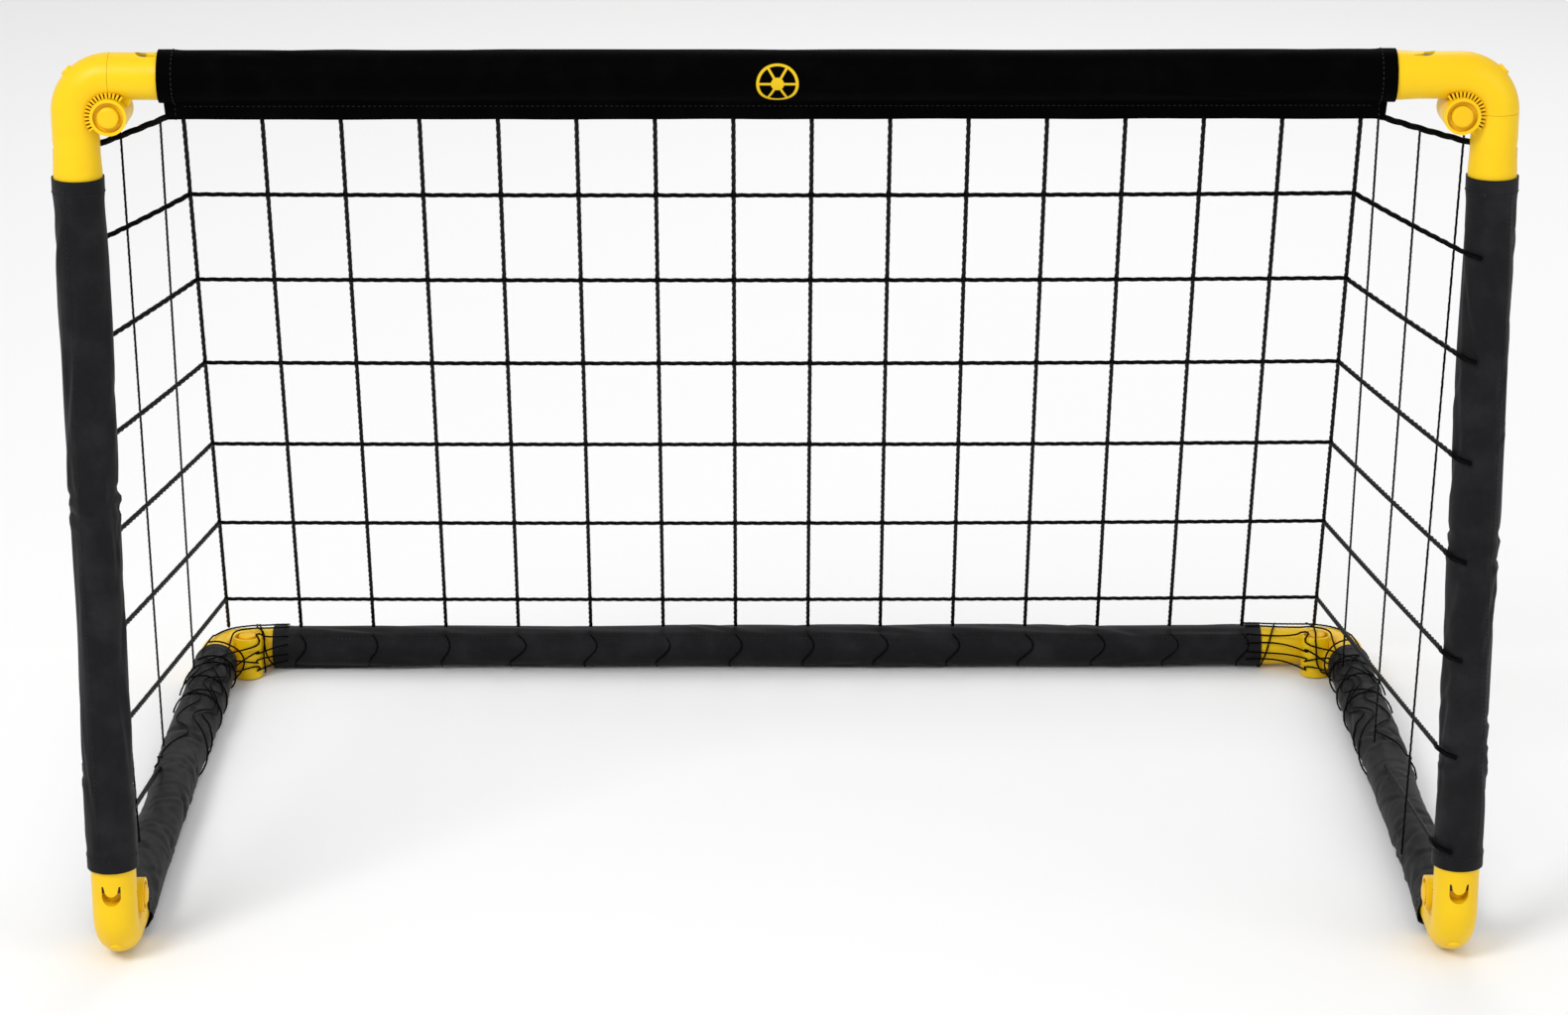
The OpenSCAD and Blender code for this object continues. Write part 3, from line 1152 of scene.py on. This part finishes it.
    def build(self, finish: bpy.types.Material) -> bpy.types.Object:
        """Makes the sleeve with its real thickness and its cloth UV map.

        Args:
            finish: The cloth's material.

        Returns:
            The piece.
        """
        outer, out, u, s = self.shell()
        inner = outer - out * self.goal.sleeve_wall
        rows, around = u.shape
        points = np.concatenate([outer.reshape(-1, 3), inner.reshape(-1, 3)])
        half = rows * around
        faces = []
        for i in range(rows - 1):
            here, above = i * around, (i + 1) * around
            for j in range(around):
                k = (j + 1) % around
                a, b, c, d = here + j, here + k, above + k, above + j
                faces.append((a, b, c, d))
                faces.append((half + d, half + c, half + b, half + a))
        last = (rows - 1) * around
        for j in range(around):
            k = (j + 1) % around
            faces.append((half + j, half + k, k, j))
            faces.append((last + j, last + k, half + last + k, half + last + j))
        piece = mesh_piece(self.name, points, faces, finish)
        spread = np.stack([np.tile(u.ravel(), 2), np.tile(s.ravel(), 2)], 1)
        layer = piece.data.uv_layers.new(name="cloth")
        index = np.zeros(len(piece.data.loops), int)
        piece.data.loops.foreach_get("vertex_index", index)
        layer.data.foreach_set("uv", spread[index].ravel())
        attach(piece, self.body)
        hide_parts(f"{self.bar}_sleeve")
        round(self.girth, 4)
        round(self.length, 4)
        return piece

    def seam_path(self, shift: float) -> list[Vector]:
        """Finds a line on the cloth beside the seam, a little proud of it.

        Args:
            shift: How far round the cloth it lies from the seam's middle.

        Returns:
            The line's points.
        """
        outer, out, u, _ = self.shell()
        column = int(np.argmin(np.abs(u[0] - (self.seam_at * self.girth + shift))))
        skip = round((self.hem + 1 * MM) / self.step) + 4
        line = outer[skip:-skip, column] + out[skip:-skip, column] * self.thread_rise
        return [Vector(p) for p in line]

    def hem_paths(self) -> list[list[Vector]]:
        """Finds the stitch lines round both hems.

        Returns:
            Each line's points.
        """
        outer, out, _, s = self.shell()
        paths = []
        for place in (self.hem - self.stitch_in, self.length - self.hem + self.stitch_in):
            row = int(np.argmin(np.abs(s[:, 0] - place)))
            ring = outer[row] + out[row] * self.thread_rise
            paths.append([Vector(p) for p in (*ring, ring[0])])
        return paths

    def stitches(self, tree: StitchTree, finish: bpy.types.Material) -> bpy.types.Object:
        """Makes the sleeve's stitches.

        Args:
            tree: The stitch maker.
            finish: The thread's material.

        Returns:
            The piece.
        """
        paths = [self.seam_path(self.stitch_in), *self.hem_paths()]
        piece = tree.make(path_mesh(f"{self.bar}_stitches", paths), finish)
        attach(piece, self.body)
        return piece


@dataclass
class CrossbarSleeve(Sleeve):
    """The crossbar's sleeve, sewn shut below the bar in a hanging flap."""

    flap_rows: int = 6
    flap_from: tuple[float, float] = (2 * MM, 4 * MM)
    flap_ramp: float = 1 * MM

    @property
    def girth(self) -> float:
        """The cloth's width: round the bar, and twice down the flap."""
        return super().girth + 2 * self.goal.flap_drop

    def profile(self) -> tuple[np.ndarray, np.ndarray, np.ndarray]:
        """Works out a round top that closes in a narrow double wall below.

        Returns:
            Places and outward directions as pairs along `front` and downwards, and distances.
        """
        g = self.goal
        r, half = g.sleeve_r, g.flap_t / 2
        gape = math.asin(half / r) + 0.12
        count = self.around - 2 * self.flap_rows
        turn = np.linspace(math.pi / 2 + gape, math.pi * 5 / 2 - gape, count)
        outs = np.stack([np.cos(turn), np.sin(turn)], 1)
        round_part = outs * r
        down = np.linspace(r + g.flap_drop, r + 1.5 * MM, self.flap_rows)
        back = np.stack([np.full_like(down, -half), down], 1)
        front = np.stack([np.full_like(down, half), down[::-1]], 1)
        places = np.concatenate([back, round_part, front])
        flat = np.tile([1.0, 0.0], (self.flap_rows, 1))
        outs = np.concatenate([-flat, outs, flat])
        gaps = np.linalg.norm(np.diff(places, axis=0), axis=1)
        return places, outs, np.concatenate([[0.0], np.cumsum(gaps)])

    def hang(self, place: np.ndarray, base: np.ndarray, s: np.ndarray) -> np.ndarray:
        """Lets the flap's lower edge wave a little and draws it up at both ends.

        Args:
            place: The surface's points.
            base: The cross-section's points, from the bar's centre line.
            s: Distance along the cloth of each row of points.

        Returns:
            The moved points.
        """
        below = np.clip(-base[..., 2] - self.goal.sleeve_r, 0, None)
        share = below / self.goal.flap_drop
        wave = 0.5 * MM * np.sin(s * 41 + 0.7) + 0.35 * MM * np.sin(s * 97)
        place[..., 1] += share * wave[:, None]
        edge = np.minimum(s - self.flap_from[0], self.length - s - self.flap_from[1])
        lift = 1 - np.clip(edge / self.flap_ramp, 0, 1)
        place[..., 2] += below * lift[:, None]
        return place

    def seam_path(self, shift: float) -> list[Vector]:
        """Finds the stitch line across the flap, just below the bar, at the front.

        Args:
            shift: Not used, because the flap is the seam.

        Returns:
            The line's points.
        """
        g = self.goal
        y = g.front_y - g.flap_t / 2 - 0.25 * MM
        z = g.crossbar_z - g.sleeve_r - 2.6 * MM
        down = Vector((0, y - self.start.y, z - self.start.z))
        along = [i * self.step for i in range(5, round(self.length / self.step) - 4)]
        return [self.start + self.way * s + down for s in along]


# ------------------------------------------------------------------------- net


@dataclass
class Net:
    """The goal's net: a sloping back panel, two side panels and what ties them on.

    `held` is a share of each hanging cord, from its top, at which a point is worked out but not used.
    `wrap_end` is the turn at which cross cords end on the left and the right post.
    """

    cords: CordTree
    finish: bpy.types.Material
    plan: NetPlan = NetPlan()
    goal: GoalSizes = GOAL
    main_strand: float = 0.9 * MM
    row_strand: float = 1.04 * MM
    edge_strand: float = 1.25 * MM
    hanging_strand: float = 0.5 * MM
    thin_strand: float = 0.45 * MM
    held: tuple[float, ...] = (0.45, 0.15, 0.0)
    wrap_end: tuple[float, float] = (150, 248)
    made: list[bpy.types.Object] = field(default_factory=list)

    def cord(
        self, name: str, paths: Sequence, strand: float, knots: Sequence = (), **sizes: float
    ) -> bpy.types.Object:
        """Makes one piece of cord and names its finish.

        Args:
            name: The piece's name.
            paths: Each cord's points.
            strand: Radius of one strand.
            knots: Points that get a knot.
            sizes: Other named inputs of the cord tree.

        Returns:
            The piece, not yet on a body.
        """
        maker = path_mesh(name, paths, knots)
        piece = self.cords.make(maker, self.finish, strand_radius=strand, **sizes)
        self.made.append(piece)
        return piece

    def slack(self, a: Vector, b: Vector, drop: float, parts: int = 8) -> list[Vector]:
        """A cord from a to b that sags by `drop` in the middle."""
        shares = [i / parts for i in range(parts + 1)]
        return [mix(a, b, t) - UP * drop * 4 * t * (1 - t) for t in shares]

    def back(self) -> None:
        """Makes the back panel."""
        plan, g = self.plan, self.goal
        paths, knots = [], []
        for i in range(g.back_cells + 1):
            head = mix(plan.head(-1), plan.head(1), i / g.back_cells)
            heel = mix(plan.heel(-1), plan.heel(1), i / g.back_cells)
            paths.append([head + plan.tuck, *(mix(head, heel, k / 12) for k in range(13))])
            knots += [mix(head, heel, plan.share(row)) for row in range(g.cross_cords)]
        for row in range(g.cross_cords):
            paths.append(self.slack(plan.corner(-1, row), plan.corner(1, row), 1.2 * MM, 30))
        piece = self.cord("net_back_panel", paths, self.main_strand, knots)
        top, foot = plan.head(1), plan.heel(1)
        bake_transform(piece)
        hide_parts("net_back")

    def side(self, side: int) -> None:
        """Makes one side panel: cross cords from the post, hanging cords and the top edge.

        Args:
            side: -1 for the left panel, 1 for the right one.
        """
        plan, g = self.plan, self.goal
        node = at_side(side, ("net_left", "net_right"))
        rows = [
            (plan.post(side, row), plan.corner(side, row), plan.share(row))
            for row in range(g.cross_cords)
        ]
        toe = plan.base(side, plan.toe_y, plan.toe_turn)
        rows.append((plan.post(side, g.cross_cords), toe, 1.0))
        for i, (post, corner, share) in enumerate(rows):
            wrap = self.post_wrap(side, post, corner)
            path = [*wrap[:-1], *self.slack(wrap[-1], corner, 0.6 * MM)]
            piece = self.cord(f"{node}_row_{i + 1}", [path], self.row_strand)
            post + (corner - post) / share
            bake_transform(piece)
            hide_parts(node)
        ends = zip(plan.heads(side), plan.feet(side), self.held)
        for k, (top, foot, held) in enumerate(ends):
            path, name = self.slack(top, foot, 0), f"{node}_hanging_{k + 1}"
            piece = self.cord(name, [path], self.hanging_strand, twist=18 * MM)
            mix(top, foot, held)
            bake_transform(piece)
        first = plan.tip(side) + Vector((side * 4 * MM, -3 * MM, -4 * MM))
        last = plan.head(side) + plan.tuck + Vector((side * 10 * MM, 0, 0))
        path = self.slack(first, last, 0.4 * MM)
        piece = self.cord(f"{node}_top_edge", [path], self.edge_strand, twist=34 * MM)
        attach(piece, "front_frame")

    def post_wrap(self, side: int, post: Vector, corner: Vector) -> list[Vector]:
        """Finds the end of a cross cord, which lies round the post's sleeve.

        It goes over the inner side and front of the right post, and behind the left one.

        Args:
            side: Which post.
            post: Where the cord reaches it.
            corner: The cord's other end.

        Returns:
            The points from the cord's end up to where it leaves the sleeve.
        """
        g = self.goal
        r = g.net_off - 0.1 * MM
        centre = Vector((side * g.post_x, g.front_y, post.z))
        away = corner - centre
        first = math.atan2(post.y - centre.y, post.x - centre.x)
        last, fall = math.radians(at_side(side, self.wrap_end)), 0.0
        if side > 0:
            first = math.atan2(away.y, away.x) + math.acos(r / math.hypot(away.x, away.y))
            fall = -3 * MM
        turns = [last + (first - last) * i / 12 for i in range(13)]
        rounds = [Vector((math.cos(t), math.sin(t), fall / r * (t - first))) * r for t in turns]
        return [centre + step for step in rounds]

    def lashing(self) -> None:
        """Makes short lashings along the back bar, one for each cord that hangs down to it."""
        plan, g = self.plan, self.goal
        centre = Vector((0, g.back_y, g.base_z))
        r = g.sleeve_r + 0.75 * MM
        turns = np.linspace(math.radians(130), math.radians(232), 14)
        paths = []
        draw = random.Random(41)
        for i in range(1, g.back_cells):
            x = mix(plan.heel(-1), plan.heel(1), i / g.back_cells).x
            lean = draw.uniform(3, 7) * MM
            rounds = [
                Vector((x + lean * math.sin(3 * (t - turns[0])), r * math.cos(t), r * math.sin(t)))
                for t in turns
            ]
            paths.append([centre + step for step in rounds])
        piece = self.cord("back_bar_lashings", paths, self.thin_strand, twist=9 * MM)
        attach(piece, "base")

    def drape(self, side: int, label: str) -> None:
        """Makes the slack lower edge of the net, bunched over a back corner and the base bar.

        Args:
            side: -1 for the left corner, 1 for the right one.
            label: The corner's side in words.
        """
        paths = Drape(side, self.goal).paths()
        sizes = {"twist": 12 * MM, "step": 2.6 * MM}
        piece = self.cord(f"slack_net_{label}", paths, self.thin_strand, **sizes)
        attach(piece, "base")

    def build(self) -> None:
        """Makes the whole net."""
        self.back()
        for side, label in SIDES:
            self.side(side)
            self.drape(side, label)
        self.lashing()


@dataclass(frozen=True)
class Course:
    """One lengthwise cord of the slack net: its turns before and over the drum, and its end."""

    socket: float
    drum: float
    stop: float


COURSES = (
    Course(-20, -20, 0.28),
    Course(14, 30, 0.11),
    Course(42, 66, 0.24),
    Course(66, 80, 0.15),
    Course(90, 93, 0.2),
    Course(112, 104, 0.09),
)


@dataclass
class Drape:
    """Lays slack cords over a back corner, its drum and the sleeves beside it.

    A run is a distance along the bars from the middle of the corner, and a swing is a turn round
    them, in degrees. From the run `loose_from` on, the cords part into loops.
    """

    side: int
    goal: GoalSizes
    lift: float = 1.0 * MM
    lowest: float = 1.2 * MM
    probe: float = 0.2 * MM
    far_off: float = 9.0
    reach_in: float = 12 * MM
    loose_from: float = 0.03
    loose_over: float = 0.05
    drum_from: float = -0.042
    drum_over: float = 0.018
    loop: float = 0.07
    tight_swing: float = 4
    loose_swing: float = 40
    tie_runs: tuple[float, ...] = (-0.022, 0.035, 0.07, 0.11, 0.15)

    def surface(self, p: Vector) -> float:
        """Finds the distance of a point from the bars, the bend and the drum under the cords.

        Args:
            p: The point.

        Returns:
            The distance, below zero inside.
        """
        g, far = self.goal, self.far_off
        x, y, z = abs(p.x), p.y, p.z - g.base_z
        back = math.hypot(y - g.back_y, z) if x < g.axis_x else far
        bar = math.hypot(x - g.post_x, z) if y < g.back_y - g.bend_r else far
        dx, dy = x - g.axis_x, y - (g.back_y - g.bend_r)
        bend = math.hypot(math.hypot(dx, dy) - g.bend_r, z) if dx > 0 and dy > 0 else far
        out, over = math.hypot(dx, dy) - g.drum_r, p.z - g.button_top
        drum = max(out, over) if out < 0 and over < 0 else math.hypot(max(out, 0), max(over, 0))
        near_end = g.sleeve_r if x < self.sleeve_x else g.body_r + 0.6 * MM
        return min(back - near_end, bar - g.sleeve_r - 0.5 * MM, bend - g.body_r, drum)

    @property
    def sleeve_x(self) -> float:
        """Where the back bar's sleeve ends at this corner."""
        return self.goal.axis_x - at_side(self.side, self.goal.back_gaps)

    def laid(self, p: Vector, lift: float, pull: bool = True) -> Vector:
        """Moves a point to just above what lies under it.

        Args:
            p: The point.
            lift: Its distance over the surface.
            pull: Whether a point that is further away comes down to the surface too.

        Returns:
            The new point.
        """
        h = self.probe
        for _ in range(20):
            here = self.surface(p)
            if here > lift and not pull:
                break
            slope = Vector(
                self.surface(p + Vector(d)) - here for d in ((h, 0, 0), (0, h, 0), (0, 0, h))
            )
            if slope.length < 1e-9 or abs(here - lift) < 0.05 * MM:
                break
            p = p - slope.normalized() * (here - lift) * 0.8
        p.z = max(p.z, self.lowest)
        return p

    def point(self, run: float, turn: float) -> Vector:
        """Finds a point round the bars.

        Args:
            run: Distance along the centre line, from the middle of the back corner; it grows
                towards the front.
            turn: Angle round the bar, 0 on top and a quarter turn on the goal's inner side.

        Returns:
            The point, a little way out from the surface.
        """
        g = self.goal
        arc = g.bend_r * math.pi / 4
        far = (20 + 18 * math.exp(-((run / 0.03) ** 2)) * max(0.0, math.sin(turn))) * MM
        if run < -arc:
            centre = Vector((g.axis_x + run + arc, g.back_y, g.base_z))
            inner = Vector((0, -1, 0))
        elif run > arc:
            centre = Vector((g.post_x, g.back_y - g.bend_r - (run - arc), g.base_z))
            inner = Vector((-1, 0, 0))
        else:
            a = math.pi / 4 - run / g.bend_r
            out = Vector((math.cos(a), math.sin(a), 0))
            centre = Vector((g.axis_x, g.back_y - g.bend_r, g.base_z)) + out * g.bend_r
            inner = -out
        p = centre + UP * far * math.cos(turn) + inner * far * math.sin(turn)
        return Vector((p.x * self.side, p.y, p.z))

    def cord(self, rough: list[Vector], lift: float) -> list[Vector]:
        """Pulls rough points tight over the surface and fits a smooth cord to them.

        Args:
            rough: Points near the surface.
            lift: The cord's distance over it.

        Returns:
            The cord's points.
        """
        points = [self.laid(p, lift) for p in rough]
        for _ in range(5):
            inner = [(a + b * 2 + c) / 4 for a, b, c in zip(points, points[1:], points[2:])]
            points = [points[0], *(self.laid(p, lift, False) for p in inner), points[-1]]
        return [self.laid(p, lift, False) for p in smooth_path(points, 3 * MM)]

    def paths(self) -> list[list[Vector]]:
        """Lays lengthwise cords over the corner that part into loops, and the ties between them.

        Returns:
            Each cord's points.
        """
        draw = random.Random(at_side(self.side, (7, 19)))
        g = self.goal
        first = self.sleeve_x - g.axis_x - g.bend_r * math.pi / 4 - self.reach_in
        paths = []
        for j, course in enumerate(COURSES):
            rough, run = [], first
            phase = math.pi * j
            while run < course.stop:
                loose = max(0.0, min(1.0, (run - self.loose_from) / self.loose_over))
                near = max(0.0, min(1.0, (run - self.drum_from) / self.drum_over))
                reach = self.tight_swing + self.loose_swing * loose
                swing = reach * math.sin(2 * math.pi * run / self.loop + phase)
                rest = course.socket + (course.drum - course.socket) * near
                turn = rest * (1 - 0.5 * loose) + swing
                rough.append(self.point(run, math.radians(turn + draw.uniform(-3, 3))))
                run += draw.uniform(0.006, 0.009)
            rough.append(self.point(run, math.radians(-80 if j % 2 else 150)))
            paths.append(self.cord(rough, self.lift + 0.3 * MM * (j % 2)))
        for run in (first + 2 * self.reach_in, *self.tie_runs):
            start, span = draw.uniform(-35, -10), draw.uniform(155, 175)
            lean = draw.uniform(-0.014, 0.014)
            shares = [i / 9 for i in range(10)]
            rough = [self.point(run + lean * t, math.radians(start + span * t)) for t in shares]
            paths.append(self.cord(rough, self.lift + 0.7 * MM))
        return paths


# --------------------------------------------------------------------- corners


@dataclass
class Corners:
    """Dresses the six corner joints' own solids, and the tubes."""

    shell: bpy.types.Material
    button: bpy.types.Material
    gear: bpy.types.Material
    pin: bpy.types.Material
    tube: bpy.types.Material

    def dress(self, nodes: dict[str, bpy.types.Object]) -> None:
        """Gives each solid of the frame its finish.

        Args:
            nodes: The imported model's nodes by name.
        """
        finishes = {
            "_bend": self.shell,
            "_socket": self.shell,
            "_button": self.button,
            "_lock_gear": self.gear,
            "_hinge_pin": self.pin,
            "_tube": self.tube,
        }
        for name, piece in nodes.items():
            for ending, finish in finishes.items():
                if name.endswith(ending):
                    for place in piece.material_slots:
                        place.material = finish
                    LOG.info("dressed %s", name)


@dataclass(frozen=True)
class LockSpring:
    """The coil spring under one push-button, which shortens as the button goes in."""

    corner: str
    body: str
    centre: Vector
    out: Vector
    floor: float = -5.3 * MM
    low: float = -4.85 * MM
    high: float = 3.35 * MM
    coil_r: float = 4.6 * MM
    wire_r: float = 0.4 * MM
    travel: float = 4 * MM
    turns: int = 5
    turn_steps: int = 24
    end_rise: float = 0.85 * MM

    def height(self, turn: float) -> float:
        """Finds the wire's height: close turns at both ends, open ones between.

        Args:
            turn: Number of turns from the lower end.

        Returns:
            The height over the button's centre, along its axis.
        """
        rise = (self.high - self.low - 2 * self.end_rise) / (self.turns - 2)
        middle = min(max(turn - 1, 0), self.turns - 2)
        close = min(turn, 1) + max(turn - self.turns + 1, 0)
        return self.low + close * self.end_rise + middle * rise

    def build(self, wire: WireTree, finish: bpy.types.Material) -> None:
        """Winds the spring in place of the model's one.

        Args:
            wire: The geometry tree that gives the wire its thickness.
            finish: The spring's material.
        """
        side = self.out.orthogonal().normalized()
        other = self.out.cross(side)
        coil = []
        for i in range(self.turns * self.turn_steps + 1):
            turn = i / self.turn_steps
            a = 2 * math.pi * turn
            ring = (side * math.cos(a) + other * math.sin(a)) * self.coil_r
            coil.append(self.centre + ring + self.out * self.height(turn))
        piece = wire.make(path_mesh(f"{self.corner}_spring_coil", [coil]), finish)
        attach(piece, self.body)
        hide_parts(f"{self.corner}_lock_spring")
        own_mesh(piece)


# ---------------------------------------------------------------------- studio


@dataclass
class Studio:
    """The camera, the floor and the lights."""

    eye: Point = (-0.0126, -2.8577, 1.1298)
    lens: float = 98.62
    tilt: float = 90 - 17.623
    turn: float = -0.259
    shift_y: float = -0.00228
    floor_half: float = 14.0
    floor_z: float = -0.4 * MM
    sky: float = 0.72
    aim: Point = (0, 0, 0.3)

    def camera(self) -> None:
        """Sets the camera where it sees the goal's mouth from slightly above."""
        data = bpy.data.cameras.new("camera")
        data.lens, data.sensor_width, data.shift_y = self.lens, 36.0, self.shift_y
        data.dof.use_dof = False
        data.clip_end = 100
        camera = placed("camera", data)
        camera.location = self.eye
        camera.rotation_euler = (math.radians(self.tilt), 0, math.radians(self.turn))
        bpy.context.scene.camera = camera

    def floor(self) -> None:
        """Lays a plain pale floor."""
        h, z = self.floor_half, self.floor_z
        corners = [(-h, -h, z), (h, -h, z), (h, h, z), (-h, h, z)]
        mesh_piece("floor", corners, [(0, 1, 2, 3)], PaleFloor().material())

    def lamp(self, name: str, place: Point, size: float, power: float) -> None:
        """Adds one large soft lamp that faces the goal.

        Args:
            name: The lamp's name.
            place: Where it hangs.
            size: Its diameter, in metres.
            power: Its power, in watts.
        """
        data = bpy.data.lights.new(name, "AREA")
        data.shape, data.size, data.energy = "DISK", size, power
        lamp = placed(name, data)
        lamp.location = place
        aim = Vector(self.aim) - Vector(place)
        lamp.rotation_euler = aim.to_track_quat("-Z", "Y").to_euler()

    def build(self) -> None:
        """Sets up the whole studio."""
        self.camera()
        self.floor()
        world = bpy.data.worlds.new("pale_sky")
        world.use_nodes = True
        background = world.node_tree.nodes["Background"]
        background.inputs["Color"].default_value = (1, 1, 1, 1)
        background.inputs["Strength"].default_value = self.sky
        scene = bpy.context.scene
        scene.world = world
        scene.view_settings.view_transform = "Standard"
        self.lamp("key", (-1.6, -2.4, 2.6), 1.4, 62)
        self.lamp("fill", (2.2, -2.0, 1.6), 2.0, 14)
        self.lamp("back", (0.4, 2.4, 2.4), 2.0, 20)


# ------------------------------------------------------------------------ goal


@dataclass
class MiniGoal:
    """The whole goal, built sub-assembly by sub-assembly."""

    goal: GoalSizes = GOAL

    def sleeves(self) -> list[Sleeve]:
        """Plans the six sleeves with their places.

        Returns:
            The sleeves, not yet built.
        """
        g = self.goal
        low = g.base_z + g.bend_r + g.post_gaps[0]
        high = g.crossbar_z - g.bend_r - g.post_gaps[1]
        near = g.front_y + g.bend_r + g.base_front_gap
        plans = []
        for side, label in SIDES:
            x = side * g.post_x
            far = g.back_y - g.bend_r - at_side(side, g.base_back_gaps)
            post = Sleeve(
                name=f"{label}_post_cover",
                bar=f"{label}_post",
                body="front_frame",
                start=Vector((x, g.front_y, low)),
                stop=Vector((x, g.front_y, high)),
                front=AHEAD,
                crumple=Crumple.SOFT,
                seed=11 + side,
                kinks=at_side(side, ((0.25, 0.06), (0.22, 0.08))),
                seam_at=at_side(side, (0.93, 0.09)),
            )
            bar = Sleeve(
                name=f"{label}_base_cover",
                bar=f"{label}_base_bar",
                body="base",
                start=Vector((x, near, g.base_z)),
                stop=Vector((x, far, g.base_z)),
                front=UP,
                crumple=Crumple.LOOSE,
                seed=23 + side,
                kinks=(0.12, 0.3),
                ruffle=True,
                seam_at=0.3,
            )
            plans += [post, bar]
        top = CrossbarSleeve(
            name="crossbar_cover",
            bar="crossbar",
            body="front_frame",
            start=Vector((-g.axis_x + g.crossbar_gaps[0], g.front_y, g.crossbar_z)),
            stop=Vector((g.axis_x - g.crossbar_gaps[1], g.front_y, g.crossbar_z)),
            front=AHEAD,
            crumple=Crumple.TAUT,
            seed=5,
            seam_at=0.03,
        )
        back = Sleeve(
            name="back_bar_cover",
            bar="back_bar",
            body="base",
            start=Vector((-g.axis_x + g.back_gaps[0], g.back_y, g.base_z)),
            stop=Vector((g.axis_x - g.back_gaps[1], g.back_y, g.base_z)),
            front=AHEAD,
            crumple=Crumple.SOFT,
            seed=31,
            seam_at=0.88,
        )
        return [*plans, top, back]

    def springs(self) -> list[LockSpring]:
        """Plans the six lock springs with their places.

        Returns:
            The springs, not yet built.
        """
        g, drop = self.goal, self.goal.bend_r
        plans = []
        for side, label in SIDES:
            top = Vector((side * g.axis_x, g.front_y, g.crossbar_z - drop))
            front = Vector((side * g.post_x, g.front_y + drop, g.base_z + drop))
            back = Vector((side * g.axis_x, g.back_y - drop, g.base_z))
            plans.append(LockSpring(f"top_{label}", "front_frame", top, AHEAD))
            plans.append(LockSpring(f"front_{label}", "base", front, Vector((-side, 0, 0))))
            plans.append(LockSpring(f"back_{label}", "base", back, UP))
        return plans

    def sew(self) -> None:
        """Makes the six sleeves with their stitches."""
        cloth, deep, thread = CLOTH.material(), CROSSBAR_CLOTH.material(), THREAD.material()
        stitcher = StitchTree()
        for sleeve in self.sleeves():
            sleeve.build(deep if isinstance(sleeve, CrossbarSleeve) else cloth)
            sleeve.stitches(stitcher, thread)
            LOG.info("sewed %s, %.3f m long", sleeve.name, sleeve.length)

    def tie(self) -> None:
        """Makes the net."""
        net = Net(CordTree(), CORD.material())
        net.build()
        for piece in net.made:
            LOG.info("tied %s, %d faces", piece.name, len(piece.data.polygons))

    def wind(self) -> None:
        """Makes the six lock springs."""
        wire, steel = WireTree(), SPRING_STEEL.material()
        for spring in self.springs():
            spring.build(wire, steel)
            LOG.info("wound %s_spring_coil", spring.corner)

    def build(self) -> None:
        """Builds and dresses every sub-assembly."""
        self.sew()
        self.tie()
        self.wind()
        Corners(
            shell=CORNER_PLASTIC.material(),
            button=BUTTON_PLASTIC.material(),
            gear=GEAR_PLASTIC.material(),
            pin=PIN_STEEL.material(),
            tube=TUBE_PAINT.material(),
        ).dress(frame["nodes"])


def main() -> None:
    """Builds the studio and the goal."""
    logging.basicConfig(level=logging.INFO, format="%(message)s")
    Studio().build()
    MiniGoal().build()


if __name__ == "__main__":
    main()
